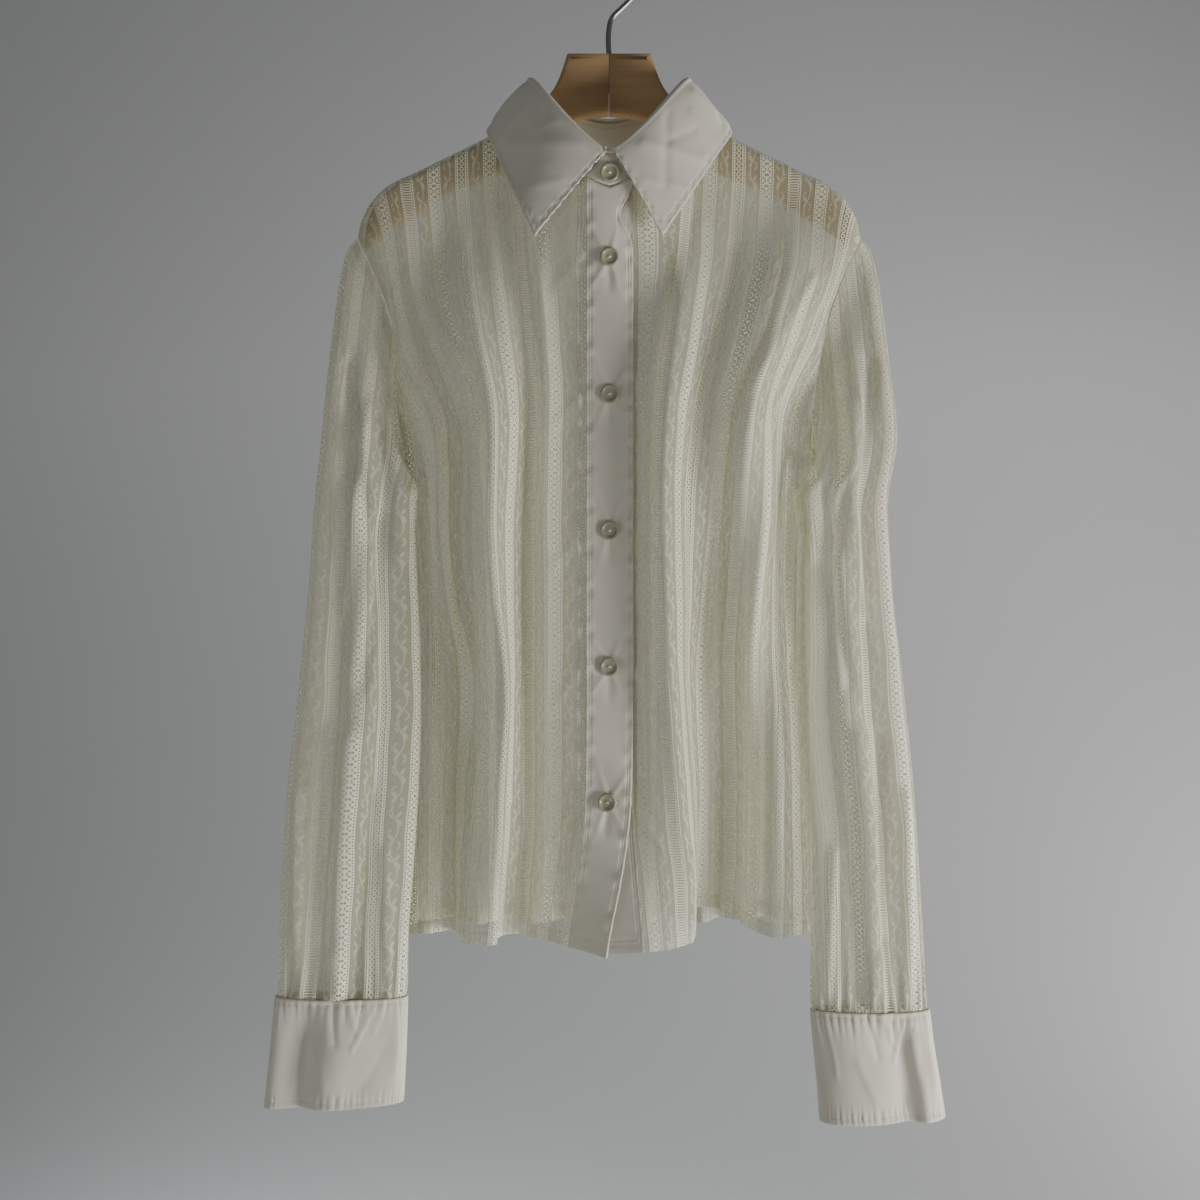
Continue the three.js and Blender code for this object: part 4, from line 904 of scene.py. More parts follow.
def hem_pucker(across, from_hem):
    """Small uneven gathers that the stitching makes at the hem."""
    wave = ripple(across, (1, 2.9, 0), (0.6, 1.7, 1.3), (0.5, 6.1, 0))
    return 0.28 * wave * hump(from_hem - 5, 7)


def front_panel(context, name, node, half, table, phase):
    """A lace front, its stripes moved along by a phase."""
    points, cloth, down, from_hem, from_side = half.grid(*PANEL_GRID)
    depth = context.scene.lace_shirt.crease_depth
    rise = creases(table, cloth, down) * depth + hem_pucker(cloth, from_hem)
    points = points + outward(points) * (half.side * rise)[..., None]
    piece = cloth_object(
        name, points, (cloth - phase + drift(down), down), lace_marks(from_hem, from_side),
        finish_of(context, "lace"), flip=half.side < 0,
    )
    dress(piece, "lace", node)


def back_panel(context):
    """The lace back, from side seam to side seam."""
    right, left = (half.grid(*PANEL_GRID) for half in (BACK_RIGHT, BACK_LEFT))
    join = [np.concatenate([a[:, :0:-1], b], axis=1) for a, b in zip(left, right)]
    points, cloth, down, from_hem, from_side = join
    across = np.concatenate([-left[1][:, :0:-1], right[1]], axis=1)
    from_side = np.where(cloth < 60, 60, from_side)
    rise = creases(BACK_CREASES, cloth, down) * context.scene.lace_shirt.crease_depth
    rise = rise * np.where(across < 0, -0.8, 1.0) + hem_pucker(across, from_hem)
    points = points + outward(points) * rise[..., None]
    piece = cloth_object(
        "Back", points, (across + drift(down + 40), down), lace_marks(from_hem, from_side),
        finish_of(context, "lace"),
    )
    dress(piece, "lace", "back")


def band_rise(cloth, down, from_edge):
    """Small forms of a front band: stitched edges, slow waves and pulls at its buttons."""
    pucker = ripple(down, (1, 2.3, 0), (0.7, 4.7, 1), (0.5, 1.5, cloth / 9))
    rise = 0.6 * pucker * hump(from_edge - 1.5, 3.4)
    rise = rise + 0.8 * np.sin(down / 11 + cloth / 7) * np.sin(down / 31 + 1)
    for k in range(FRONT_BUTTONS):
        near = down - FIRST_BUTTON_DOWN - k * BUTTON_PITCH
        lean = 0.45 + 0.2 * np.sin(2.3 * k + np.sign(cloth))
        rise = rise + 0.8 * np.exp(-((np.abs(cloth) - np.abs(near) * lean) ** 2) / 5 - (near / 20) ** 2)
        rise = rise - 1.0 * np.exp(-((cloth / 3) ** 2) - ((near - 14) / 9) ** 2)
    return rise


def band(context, name, node, half, forward, flip):
    """A front band of cotton, from its free edge past the middle to the seam with the lace."""
    reach = BAND_HALF - SEAM / 2
    cloth = np.linspace(-reach, reach, BAND_GRID[0])[None, :]
    rise = np.linspace(0, 1, BAND_GRID[1])[:, None]
    top_x, top_y, top_down = half.top(cloth)
    down = mix(curve(half.hem, cloth), top_down + SEAM, rise)
    hold = 1 - soft((down - top_down) / SHOULDER_HOLD)
    x, y = half.hang(cloth, down)
    above_x, above_y = half.hang(cloth, top_down)
    points = stack(x + (top_x - above_x) * hold, y + (top_y - above_y) * hold - forward, down)
    from_edge = reach - np.abs(cloth) + 0 * down
    if forward:
        points[..., 0] -= 9 * hump(down - 199, 12) * soft((-cloth - 2) / 14)
    points[..., 1] -= band_rise(cloth, down, from_edge) * (1.0 if forward else 0.3)
    from_hem = curve(half.hem, cloth) - down
    edge = np.minimum(from_edge + 1.2, from_hem * 0.5)
    # Painted shade: the lower part of the underlap is darkened in its colour, carried by the
    # doubled_and_shade mark.
    shade = 0 if forward else 5 * soft((down - 590) / 60)
    marks = {"doubled_and_shade": shade + np.zeros_like(down), "edge": edge}
    piece = cloth_object(
        name, points, (cloth + 0 * down, down), marks, finish_of(context, "cotton"),
        thickness=COTTON_THICK, flip=flip,
    )
    dress(piece, "cotton", node)


def sleeve_fold(degrees, share):
    """Depth of the long folds round a sleeve, at a share of its length."""
    depth = np.zeros(np.broadcast(degrees, share).shape)
    for turn, width, cap, elbow, wrist in SLEEVE_FOLDS:
        away = ((degrees - turn + 540) % 360 - 180) / width
        size = curve(((0, cap), (0.45, elbow), (0.9, wrist), (1, 0)), share)
        depth = depth + size * np.exp(-away * away * 2)
    return depth


def round_tube(turn):
    """Share of the cloth round a flattened tube at a turn in degrees."""
    angle = np.radians(np.arange(361.0))
    steps = np.hypot(SLEEVE_HALF * np.sin(angle), SLEEVE_DEPTH * np.cos(angle))
    reach = np.concatenate([[0], np.cumsum((steps[1:] + steps[:-1]) / 2)])
    return np.interp(turn, np.arange(361.0), reach / reach[-1])


def section_points(section, degrees, swell):
    """Points round a section, which is given as in the table of the sleeve cap, and swells."""
    out_x, out_down, in_x, in_down, y, front, back, scoop = section
    angle = np.radians(degrees)
    half = (out_x - in_x) / 2
    depth = np.where(np.sin(angle) > 0, front, back)
    size = 1 + swell / np.hypot(half * np.cos(angle), depth * np.sin(angle))
    rise = (1 + np.cos(angle) * size) / 2
    x = mix(in_x, out_x, rise) - scoop * np.sin(angle) ** 2
    return stack(x, y - depth * np.sin(angle) * size, mix(in_down, out_down, rise))


def level_rows(rows):
    """Sleeve or cuff sections that lie level."""
    down, out_x, in_x, front, back = np.array(rows, float).T
    middle = np.full_like(down, SLEEVE_FORWARD)
    return np.stack([out_x, down, in_x, down, middle, front, back, 0 * down], axis=1)


def sleeve_rings(side, sections, degrees):
    """Points round the armhole and round each section below it."""
    front = degrees <= 180
    loops = [armhole(side, face, np.where(front, degrees, 360 - degrees)) for face in (-1, 1)]
    x, y, down = (np.where(front, a, b) for a, b in zip(*loops))
    rise = (ARMPIT_DOWN - down) / (ARMPIT_DOWN - SHOULDER_TIP_DOWN)
    rings = [stack(side * (side * x + mix(ARMPIT_GAP, 2 * SEAM, soft(rise))), y, down)]
    for k, section in enumerate(sections):
        ring = section_points(section, degrees, sleeve_fold(degrees, (k + 1) / len(sections)))
        ring[:, 0] *= side
        rings.append(ring)
    return np.array(rings)


def joined_rings(rings, rows):
    """Smooth rows of points through the rings, and where each row lies between them."""
    numbers = np.arange(len(rings), dtype=float)
    place = np.linspace(0, len(rings) - 1, rows)
    points = np.empty((rows, rings.shape[1], 3))
    for column in range(rings.shape[1]):
        for axis in range(3):
            points[:, column, axis] = curve(np.column_stack([numbers, rings[:, column, axis]]), place)
    return points, place


def sleeve_turn(share, degrees, down):
    """Turn of the cloth round the sleeve, so that its stripes fall straight at the cap too."""
    turn = np.degrees(np.arccos(2 * share - 1))
    turn = mix(turn, np.minimum(degrees, 360 - degrees), soft((down - 360) / 60))
    return np.where(degrees <= 180, turn, 360 - turn)


def sleeve(context, name, node, side, rows, phase):
    """A sleeve from the armhole loop down to the cuff seam."""
    sections = np.vstack([np.array(SLEEVE_CAP, float), level_rows(rows)])
    degrees = np.linspace(0, 360, SLEEVE_GRID[0])
    points, place = joined_rings(sleeve_rings(side, sections, degrees), SLEEVE_GRID[1])
    past_seam = soft(place / 1.2)[:, None]
    down = -points[..., 2]
    from_wrist = sections[-1][1] - down
    rise = creases(SLEEVE_CREASES, degrees, down) * context.scene.lace_shirt.crease_depth
    gather = ripple(degrees, (1, 3.1, 0), (0.7, 1.9, 1), (0.5, 5.3, 0))
    rise = rise + 0.9 * gather * hump(from_wrist, 34) * soft(from_wrist / 4)
    points = points + outward(points) * (-side * rise)[..., None] * past_seam[..., None]
    outer = curve(np.vstack([(SHOULDER_TIP_DOWN, SHOULDER_TIP), sections[:, (1, 0)]]), down)
    inner = curve(np.vstack([SLEEVE_INNER, np.array(rows, float)[:, (0, 2)]]), down)
    share = np.clip((np.abs(points[..., 0]) - inner) / (outer - inner), 0, 1)
    turn = sleeve_turn(share, degrees, down)
    across = SLEEVE_WIDTH * round_tube(turn) - phase + drift(down)
    tuck = TUCK * hump(down - TUCK_DOWN, TUCK_REACH) * soft(1 - share / 0.5) * past_seam
    points[..., 0] -= side * tuck
    from_seam = np.linalg.norm(points - points[0][None], axis=-1)
    from_under = np.abs(degrees - 180) / 360 * SLEEVE_WIDTH
    doubled_and_shade = np.maximum(soft((6 - from_seam) / 1.5 + 0.5), soft((6 - from_under) / 1.5 + 0.5))
    marks = {"doubled_and_shade": doubled_and_shade, "edge": np.full_like(doubled_and_shade, 100.0)}
    piece = cloth_object(
        name, points, (across, down), marks, finish_of(context, "lace"), flip=side > 0
    )
    dress(piece, "lace", node)


def cuff_swell(side, degrees, share, depth):
    """Small forms of a cuff: gathers at its seam, a stitched edge, creases and soft dents."""
    gather = ripple(degrees, (1, 1.3, 0.6 * np.sin(degrees / 9)), (0.7, 2.1, 1))
    swell = 0.5 * gather * hump(share, 0.17) * soft(share / 0.05)
    tucks = ripple(degrees, (1, 0.95, np.sin(degrees / 6)), (0.6, 1.7, 0))
    swell = swell + 0.35 * tucks * hump(share - 0.93, 0.07)
    mirrored = degrees if side < 0 else (540 - degrees) % 360
    swell = swell + 0.7 * creases(CUFF_CREASES, mirrored, share * CUFF_HEIGHT) * depth
    for turn, height, width, tall, size in CUFF_DENTS:
        place = turn if side < 0 else (540 - turn) % 360
        away = (degrees - place + 540) % 360 - 180
        swell = swell + 1.4 * size * np.exp(-((away / width) ** 2) - ((share - height) / tall) ** 2)
    return swell


def cuff(context, name, node, side, rows, folds):
    """A cuff: a closed band with gathers under its seam and a soft valley in front."""
    degrees = np.arange(0, 360, CUFF_DEGREES)[None, :]
    share = np.linspace(0, 1, CUFF_ROWS)[:, None]
    table = level_rows(rows)
    top, foot = table[0][1], table[-1][1]
    at = mix(top, foot, share[:, 0])
    columns = [curve(np.column_stack([table[:, 1], table[:, k]]), at)[:, None] for k in range(8)]
    swell = cuff_swell(side, degrees, share, context.scene.lace_shirt.crease_depth)
    points = section_points(columns, degrees, swell)
    points[..., 1] -= curve(folds, degrees) * mix(0.3, 1, soft(share / 0.4)) * soft(share / 0.08)
    points[..., 2] -= CUFF_LEAN[side] * np.cos(np.radians(degrees)) * share**2 * 0.5
    points[..., 0] *= side
    around = np.linspace(0, CUFF_ROUND, degrees.shape[1] + 1)[None, :] + 0 * share
    down = np.broadcast_to(mix(top, foot, share), around.shape)
    edge = np.minimum(share, 1 - share)[:, :1] * (foot - top) + 0 * degrees
    marks = {"doubled_and_shade": np.zeros_like(edge), "edge": edge}
    piece = cloth_object(
        name, points, (around, down), marks, finish_of(context, "cotton"),
        thickness=CUFF_THICK, ring=True, flip=side > 0,
    )
    dress(piece, "cotton", node)


def overlap_step(degrees):
    """How far the overlapping end of the collar stands out."""
    return STAND_STEP * soft((60 - degrees) / 60)


def fold_line(side, degrees, step):
    """Fold line of the collar as x, y and down."""
    angle = np.radians(degrees)
    depth = np.where(degrees < 90, FOLD_FRONT, FOLD_BACK)
    low = np.where(degrees < 90, FOLD_FRONT_DOWN, FOLD_BACK_DOWN)
    down = mix(low, FOLD_SIDE_DOWN, np.abs(np.sin(angle)) ** 1.3)
    return side * (FOLD_HALF + step) * np.sin(angle), -np.cos(angle) * (depth + step), down


def both_halves(start, columns, first):
    """Degrees round the collar from one front end to the other, and the side of each."""
    half = np.linspace(start, 180, columns)
    side = np.repeat([float(first), float(-first)], [columns, columns - 1])
    return np.concatenate([half, half[-2::-1]]), side


def collar_rows(degrees, side):
    """Rows of points from the stand, over the roll and down the fall, and the cloth to each row."""
    x, y, down = fold_line(side, np.maximum(degrees, COLLAR_START), overlap_step(degrees))
    edges = [
        np.where(side < 0, curve(FALL_RIGHT, degrees, k), curve(FALL_LEFT, degrees, k)) for k in (1, 2, 3)
    ]
    length = np.hypot(x, y)
    away_x, away_y = x / length, y / length
    rows, cloth = [], []
    for turn in np.radians(np.linspace(140, 0, ROLL_ROWS)):
        ahead, up = ROLL * np.cos(turn), ROLL * (np.sin(turn) - 1)
        rows.append(stack(x + away_x * ahead, y + away_y * ahead, down - up))
        cloth.append(-ROLL * turn)
    start = rows[-1]
    end = stack(side * edges[0], edges[1], edges[2])
    for share in np.linspace(0, 1, FALL_ROWS)[1:]:
        point = start + (end - start) * share
        bulge = 3 * np.sin(np.pi * share**0.7)
        bulge = bulge + 0.5 * np.sin(degrees / 9 + side) * share * (1 - share) * 4
        point[:, 0] += away_x * bulge
        point[:, 1] += away_y * bulge
        rows.append(point)
        cloth.append(share * FALL_LENGTH)
    return np.array(rows), np.array(cloth)


def collar_fall(context):
    """The pointed fall: a soft roll over the stand, then down to its free edge."""
    degrees, side = both_halves(0, FALL_COLUMNS, -1)
    points, cloth = collar_rows(degrees, side)
    fall = cloth[:, None] + 0 * degrees
    around = np.linspace(0, COLLAR_LENGTH, len(degrees))[None, :] + 0 * fall
    to_front = np.minimum(around, COLLAR_LENGTH - around) * 1.15
    edge = np.minimum(FALL_LENGTH - fall, to_front)
    tucks = np.sin((around + fall) / 0.85 + np.sin(around / 7)) + 0.6 * np.sin((around - fall) / 1.5)
    rise = tucks * hump(edge - 3.4, 2.6) * 0.42
    depth = 1.1 * context.scene.lace_shirt.crease_depth
    rise = rise + creases(COLLAR_CREASES, around, fall) * soft(fall / 8) * depth
    points = points + outward(points) * rise[..., None]
    piece = cloth_object(
        "Collar", points, (around, fall), {"doubled_and_shade": 0 * fall, "edge": edge}, finish_of(context, "cotton"),
        thickness=COTTON_THICK,
    )
    dress(piece, "cotton", "collar")


def collar_stand(context):
    """The stand: a band round the neck whose ends pass each other in front."""
    degrees, side = both_halves(-12, STAND_GRID[0], 1)
    angle = np.radians(degrees)
    depth = np.where(degrees < 90, NECK_FRONT, NECK_BACK)
    low_x, low_y = side * NECK_HALF * np.sin(angle), -depth * np.cos(angle)
    low_down = np.where(degrees < 90, neck_down(angle, -1), neck_down(angle, 1)) - 2 * SEAM
    step = np.where(side < 0, overlap_step(degrees), 0)
    _, high_y, high_down = fold_line(side, np.abs(degrees), step)
    high_x, high_down = side * FOLD_HALF * np.sin(angle), high_down + ROLL + 3 * SEAM
    length = np.hypot(low_x, low_y)
    rise = np.linspace(0, 1, STAND_GRID[1])[:, None]
    x = mix(low_x, high_x, rise) + low_x / length * step * (1 - rise)
    y = mix(low_y, high_y, rise) + low_y / length * step * (1 - rise)
    points = stack(x, y, mix(low_down, high_down, rise))
    around = (np.arange(len(degrees)) * 1.6)[None, :] + 0 * rise
    height = rise * STAND_HEIGHT + 0 * degrees
    marks = {"doubled_and_shade": 0 * height, "edge": np.minimum(height, STAND_HEIGHT - height)}
    piece = cloth_object(
        "Collar_Stand", points, (around, height), marks, finish_of(context, "cotton"),
        thickness=COTTON_THICK,
    )
    dress(piece, "cotton", "collar_stand")


def lathe(name, profile, sides, material):
    """A round piece turned about Y, its face towards -Y. The profile holds radius and height."""
    mesh = bpy.data.meshes.new(name)
    shape = bmesh.new()
    rings = []
    for radius, height in profile:
        turns = [2 * math.pi * k / sides for k in range(sides)] if radius else [0]
        rings.append([
            shape.verts.new(Vector((radius * math.cos(t), -height, radius * math.sin(t))) * MM) for t in turns
        ])
    for low, high in zip(rings, rings[1:]):
        for k in range(sides):
            turns = ((low, k), (low, k + 1), (high, k + 1), (high, k))
            corners = [ring[at % len(ring)] for ring, at in turns]
            shape.faces.new(list(dict.fromkeys(corners)))
    bmesh.ops.recalc_face_normals(shape, faces=shape.faces)
    shape.to_mesh(mesh)
    shape.free()
    smoothed(mesh, material)
    return placed(name, mesh)


def button(context, name, node, at, turn, radius=6.6, thick=2.6, rim=2.1, recess=1.1):
    """A button with a rounded rim, a sunk middle and a knot of thread."""
    profile = [(0, 0), (radius - 0.7, 0), (radius - 0.2, 0.3), (radius, 1.0)]
    for k in range(7):
        arc = math.pi * k / 6
        profile.append((radius - rim / 2 + rim / 2 * math.cos(arc), thick - 0.75 + 0.75 * math.sin(arc)))
    floor = thick - recess
    profile += [(radius - rim - 0.5, floor), (radius * 0.3, floor - 0.1), (0, floor - 0.1)]
    piece = lathe(name, profile, 40, finish_of(context, "button"))
    knot = lathe(name + "_Thread", THREAD_KNOT, 12, finish_of(context, "thread"))
    for part, lift in ((piece, 0.0), (knot, floor - 0.2)):
        part.rotation_euler = (0, 0, turn)
        ahead = Vector((math.sin(turn), -math.cos(turn), 0)) * lift
        part.location = (Vector(at) + ahead) * MM
    knot.scale = (1.25, 1, 0.8)
    bpy.context.view_layer.update()
    dress(piece, "button", node)
    dress(knot, "button")


def front_button_place(down):
    """Place and turn of a button on the placket."""
    (left_x, right_x), (left_y, right_y) = FRONT_RIGHT.hang(np.array([6.0, -6.0]), np.array([down, down]))
    at = ((left_x + right_x) / 2, (left_y + right_y) / 2 - BAND_TOP_LAYER - SEAM, -down)
    return at, math.atan2(right_y - left_y, right_x - left_x)


def wood_outline():
    """Points round the wood: a smooth line through its corners and the same line mirrored."""
    outline = [Vector((x, -down, 0)) for x, down in (*WOOD_TOP, *WOOD_UNDER)]
    fine = []
    for k in range(len(outline) - 1):
        before, after = outline[max(k - 1, 0)], outline[min(k + 2, len(outline) - 1)]
        a, b = outline[k], outline[k + 1]
        for step in range(6):
            t = step / 6
            fine.append(0.5 * (
                2 * a + (b - before) * t + (2 * before - 5 * a + 4 * b - after) * t * t
                + (3 * a - before - 3 * b + after) * t**3
            ))
    fine.append(outline[-1])
    return [Vector((p.x, p.y, 0)) for p in fine] + [Vector((-p.x, p.y, 0)) for p in reversed(fine[:-1])]


def wood_solid():
    """Mesh of the whole hanger, flat on its side and rounded all along."""
    corners = wood_outline()
    shape = bpy.data.curves.new("Hanger Outline", "CURVE")
    shape.dimensions = "2D"
    shape.fill_mode = "BOTH"
    line = shape.splines.new("POLY")
    line.points.add(len(corners) - 1)
    for point, corner in zip(line.points, corners):
        point.co = (*(corner * MM), 1)
    line.use_cyclic_u = True
    shape.extrude = (WOOD_THICK / 2 - WOOD_BEVEL) * MM
    shape.bevel_depth = WOOD_BEVEL * MM
    shape.bevel_resolution = 5
    shape.offset = -WOOD_BEVEL * MM
    return mesh_of("Hanger Solid", shape)


def wood_halves(context):
    """Two halves of rounded wood, meeting at a fine joint in the middle."""
    whole = wood_solid()
    for side, name in ((-1, "right"), (1, "left")):
        mesh = whole.copy()
        cut = bmesh.new()
        cut.from_mesh(mesh)
        for vert in cut.verts:
            vert.co = Vector((vert.co.x, vert.co.z, vert.co.y))
        bmesh.ops.remove_doubles(cut, verts=cut.verts, dist=1e-5)
        made = bmesh.ops.bisect_plane(
            cut, geom=[*cut.verts, *cut.edges, *cut.faces], plane_co=(side * WOOD_JOINT / 2 * MM, 0, 0),
            plane_no=(-side, 0, 0), clear_outer=True,
        )
        edges = [e for e in made["geom_cut"] if isinstance(e, bmesh.types.BMEdge)]
        bmesh.ops.holes_fill(cut, edges=edges)
        bmesh.ops.recalc_face_normals(cut, faces=cut.faces)
        cut.to_mesh(mesh)
        cut.free()
        mesh.materials.append(finish_of(context, "wood"))
        for face in mesh.polygons:
            face.use_smooth = len(face.vertices) <= 4
        dress(placed(f"Hanger_Wood_{name}", mesh), "wood", f"hanger_wood_{name}")


def hook(context):
    """Bent wire: a stem, a bend and an open round."""
    centre = WIRE - HOOK_RADIUS
    points = [(0, -98), (0, -75), (0, -52), (2.2, -44.5), (8, -38.3)]
    for degrees in range(-45, 196, 15):
        angle = math.radians(degrees)
        points.append((HOOK_RADIUS * math.cos(angle), centre + HOOK_RADIUS * math.sin(angle)))
    wire = bpy.data.curves.new("Hook", "CURVE")
    wire.dimensions = "3D"
    wire.bevel_depth = WIRE * MM
    wire.bevel_resolution = 5
    wire.use_fill_caps = True
    line = wire.splines.new("BEZIER")
    line.bezier_points.add(len(points) - 1)
    line.resolution_u = 6
    for knot, (x, z) in zip(line.bezier_points, points):
        knot.co = Vector((x, 0, z)) * MM
        knot.handle_left_type = knot.handle_right_type = "AUTO"
    mesh = mesh_of("Hook Wire", wire)
    smoothed(mesh, finish_of(context, "steel"))
    dress(placed("Hook", mesh), "hook_steel", "hanger_hook")


# Settings and operators
def colour_setting(name, description, default):
    """A colour that a user can change."""
    return FloatVectorProperty(
        name=name, description=description, default=default, size=3, min=0, max=1, subtype="COLOR"
    )


def power_setting(name, description, default):
    """A light's power in watts that a user can change."""
    return FloatProperty(name=name, description=description, default=default, min=0, unit="POWER")


class ShirtSettings(PropertyGroup):
    """Colours of the shirt and its hanger, and the look of its cloth"""

    lace_colour: colour_setting("Lace", "Colour of the solid parts of the lace", (0.90, 0.87, 0.655))
    net_colour: colour_setting("Net", "Colour of the net between the bands", (0.64, 0.62, 0.425))
    cotton_colour: colour_setting("Cotton", "Colour of the collar, bands and cuffs", (0.775, 0.715, 0.59))
    thread_colour: colour_setting("Thread", "Colour of the thread on the buttons", (0.80, 0.77, 0.68))
    button_colour: colour_setting("Button", "Colour of the buttons", (0.40, 0.375, 0.25))
    wood_colour: colour_setting("Wood", "Colour of the hanger", (0.54, 0.345, 0.17))
    wood_dark: colour_setting("Wood grain", "Darker colour of the grain", (0.47, 0.285, 0.13))
    steel_colour: colour_setting("Steel", "Colour of the hook", (0.32, 0.29, 0.27))
    net_opacity: FloatProperty(
        name="Net opacity", description="How much the net hides", default=0.44, min=0, max=1, subtype="FACTOR"
    )
    crease_depth: FloatProperty(
        name="Crease depth", description="Scale of the small creases", default=1.0, min=0, max=2
    )


class StageSettings(PropertyGroup):
    """The backdrop and its lights"""

    backdrop: colour_setting("Backdrop", "Colour of the floor and wall", (0.578, 0.58, 0.565))
    window_power: power_setting("Window light", "Power of the soft light from the right", 25)
    fill_power: power_setting("Fill light", "Power of the low soft light from the left", 6)
    wall_power: power_setting("Wall light", "Power of the light on the backdrop", 64)
    floor_power: power_setting("Floor light", "Power of the low light on the backdrop", 11)
    sky: FloatProperty(name="Sky", description="Strength of the light all round", default=0.15, min=0)


class LACESHIRT_OT_body(Operator):
    """Hang the two fronts and the back"""

    bl_idname = "lace_shirt.body"
    bl_label = "Body"

    def execute(self, context):
        front_panel(context, "Front_Right", "front_right", FRONT_RIGHT, FRONT_RIGHT_CREASES, 38)
        front_panel(context, "Front_Left", "front_left", FRONT_LEFT, FRONT_LEFT_CREASES, 24.5)
        back_panel(context)
        return {"FINISHED"}


class LACESHIRT_OT_bands(Operator):
    """Make the placket and the underlap"""

    bl_idname = "lace_shirt.bands"
    bl_label = "Front bands"

    def execute(self, context):
        band(context, "Placket", "placket", FRONT_RIGHT, BAND_TOP_LAYER, flip=True)
        band(context, "Underlap", "underlap", FRONT_LEFT, 0, flip=False)
        return {"FINISHED"}


class LACESHIRT_OT_sleeves(Operator):
    """Hang the two sleeves"""

    bl_idname = "lace_shirt.sleeves"
    bl_label = "Sleeves"

    def execute(self, context):
        sleeve(context, "Sleeve_Right", "sleeve_right", -1, SLEEVE_RIGHT, 8)
        sleeve(context, "Sleeve_Left", "sleeve_left", 1, SLEEVE_LEFT, 15)
        return {"FINISHED"}


class LACESHIRT_OT_cuffs(Operator):
    """Make the two cuffs"""

    bl_idname = "lace_shirt.cuffs"
    bl_label = "Cuffs"

    def execute(self, context):
        cuff(context, "Cuff_Right", "cuff_right", -1, CUFF_RIGHT, CUFF_RIGHT_FOLDS)
        cuff(context, "Cuff_Left", "cuff_left", 1, CUFF_LEFT, CUFF_LEFT_FOLDS)
        return {"FINISHED"}


class LACESHIRT_OT_collar(Operator):
    """Make the collar and its stand"""

    bl_idname = "lace_shirt.collar"
    bl_label = "Collar"

    def execute(self, context):
        collar_fall(context)
        collar_stand(context)
        return {"FINISHED"}


class LACESHIRT_OT_buttons(Operator):
    """Make the buttons of the front, the neck and the cuffs"""

    bl_idname = "lace_shirt.buttons"
    bl_label = "Buttons"

    def execute(self, context):
        for k in range(FRONT_BUTTONS):
            at, turn = front_button_place(FIRST_BUTTON_DOWN + k * BUTTON_PITCH)
            button(context, f"Button_{k + 1}", f"button_{k + 1}", at, turn)
        neck = (0, -NECK_FRONT - STAND_STEP - 2 * SEAM, -COLLAR_BUTTON_DOWN)
        button(context, "Button_Collar", "button_collar", neck, 0)
        for name in ("right", "left"):
            low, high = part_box(f"button_cuff_{name}")
            middle = (low + high) / 2 / MM
            at = (middle.x, low.y / MM, middle.z)
            button(context, f"Button_Cuff_{name}", f"button_cuff_{name}", at, math.pi, 5.4, 2.4, 1.4, 0.8)
        return {"FINISHED"}


class LACESHIRT_OT_hanger(Operator):
    """Make the wooden hanger and its hook"""

    bl_idname = "lace_shirt.hanger"
    bl_label = "Hanger"

    def execute(self, context):
        wood_halves(context)
        hook(context)
        return {"FINISHED"}


def area_light(name, place, target, size, power):
    """A round soft light that the camera doesn't see."""
    light = bpy.data.lights.new(name, "AREA")
    light.shape = "DISK"
    light.size = size
    light.energy = power
    lamp = placed(name, light)
    lamp.location = place
    lamp.rotation_euler = (Vector(target) - Vector(place)).to_track_quat("-Z", "Y").to_euler()
    lamp.visible_camera = False
    return lamp


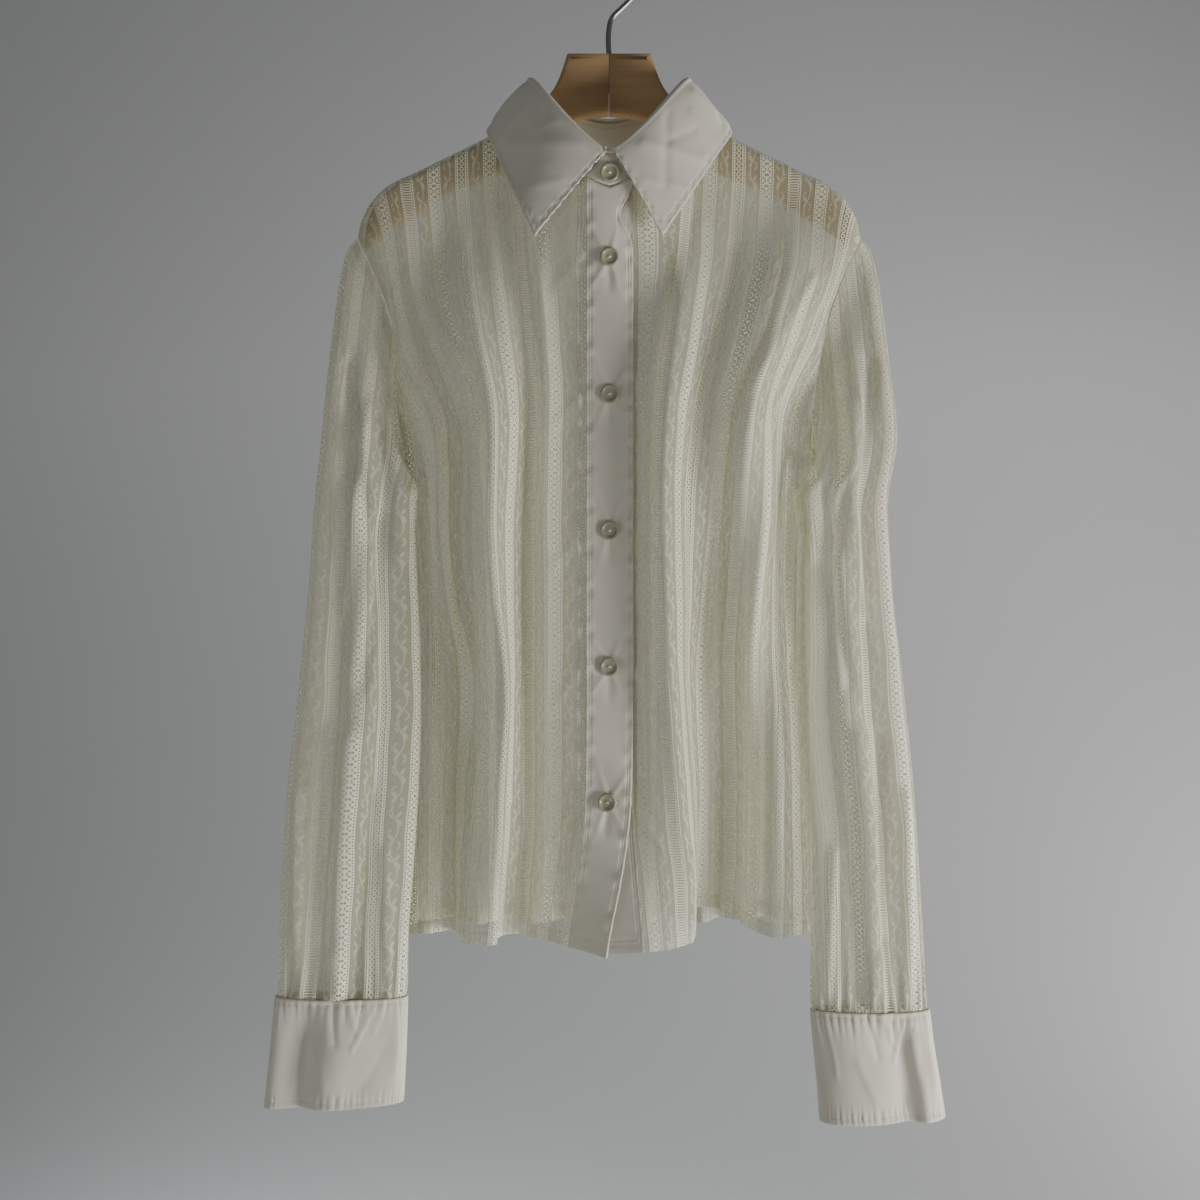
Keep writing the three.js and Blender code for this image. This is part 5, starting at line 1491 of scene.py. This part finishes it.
class LACESHIRT_OT_stage(Operator):
    """Set the floor and wall, the lights and the camera"""

    bl_idname = "lace_shirt.stage"
    bl_label = "Stage"

    def execute(self, context):
        settings = context.scene.lace_stage
        profile = [(-6.0, -1.5), (1.4, -1.5)]
        for k in range(1, 17):
            angle = math.pi / 2 * k / 16
            profile.append((1.4 + 2.2 * math.sin(angle), 0.3 - 1.8 * math.cos(angle)))
        profile.append((3.6, 5.0))
        mesh = bpy.data.meshes.new("Backdrop")
        corners = [(x, y, z) for y, z in profile for x in (-9.0, 9.0)]
        faces = [(2 * k, 2 * k + 1, 2 * k + 3, 2 * k + 2) for k in range(len(profile) - 1)]
        mesh.from_pydata(corners, [], faces)
        material, _, shader = new_material("Backdrop", 0.95)
        shader.inputs["Base Color"].default_value = (*settings.backdrop, 1)
        smoothed(mesh, material)
        placed("Backdrop", mesh)
        area_light("Window", (1.4, -0.65, -0.95), (0, 0, -0.6), 0.7, settings.window_power)
        fill = area_light("Fill", (-1.0, -1.2, -1.4), (-0.2, 0, -0.8), 0.9, settings.fill_power)
        area_light("Wall Light", (2.6, 1.0, -1.0), (0.4, 2.5, -1.5), 1.1, settings.wall_power)
        low = area_light("Floor Light", (-0.5, 0.5, -0.95), (0.1, 1.6, -1.5), 0.8, settings.floor_power)
        fill.data.color = low.data.color = (0.88, 0.95, 1.0)
        world = bpy.data.worlds.new("Soft Sky")
        world.use_nodes = True
        sky = world.node_tree.nodes["Background"]
        sky.inputs["Color"].default_value = (0.92, 0.95, 1.0, 1)
        sky.inputs["Strength"].default_value = settings.sky
        context.scene.world = world
        camera = bpy.data.cameras.new("Photo Camera")
        camera.sensor_width = SENSOR
        camera.lens = SENSOR * PHOTO_DISTANCE / PHOTO_WIDTH
        eye = placed("Photo Camera", camera)
        eye.location = Vector((PHOTO_CENTRE[0], -PHOTO_DISTANCE, PHOTO_CENTRE[1])) * MM
        eye.rotation_euler = (math.pi / 2, 0, 0)
        context.scene.camera = eye
        return {"FINISHED"}


STEPS = (
    LACESHIRT_OT_stage, LACESHIRT_OT_hanger, LACESHIRT_OT_body, LACESHIRT_OT_bands, LACESHIRT_OT_sleeves,
    LACESHIRT_OT_cuffs, LACESHIRT_OT_collar, LACESHIRT_OT_buttons,
)


class LACESHIRT_PT_panel(Panel):
    """Settings and steps of the shirt"""

    bl_idname = "LACESHIRT_PT_panel"
    bl_label = "Lace Shirt"
    bl_space_type = "VIEW_3D"
    bl_region_type = "UI"
    bl_category = "Lace Shirt"

    def draw(self, context):
        for settings in (context.scene.lace_shirt, context.scene.lace_stage):
            for name in settings.bl_rna.properties.keys():
                if name not in {"rna_type", "name"}:
                    self.layout.prop(settings, name)
        for step in STEPS:
            self.layout.operator(step.bl_idname)


CLASSES = (ShirtSettings, StageSettings, *STEPS, LACESHIRT_PT_panel)


def register():
    """Registers the classes and hangs the settings on the scene."""
    for kind in CLASSES:
        bpy.utils.register_class(kind)
    bpy.types.Scene.lace_shirt = PointerProperty(type=ShirtSettings)
    bpy.types.Scene.lace_stage = PointerProperty(type=StageSettings)


def unregister():
    """Takes the settings and the classes away again."""
    del bpy.types.Scene.lace_stage
    del bpy.types.Scene.lace_shirt
    for kind in reversed(CLASSES):
        bpy.utils.unregister_class(kind)


def main():
    """Makes every piece in order."""
    register()
    for step in STEPS:
        getattr(bpy.ops.lace_shirt, step.bl_idname.split(".")[1])()


if __name__ == "__main__":
    main()
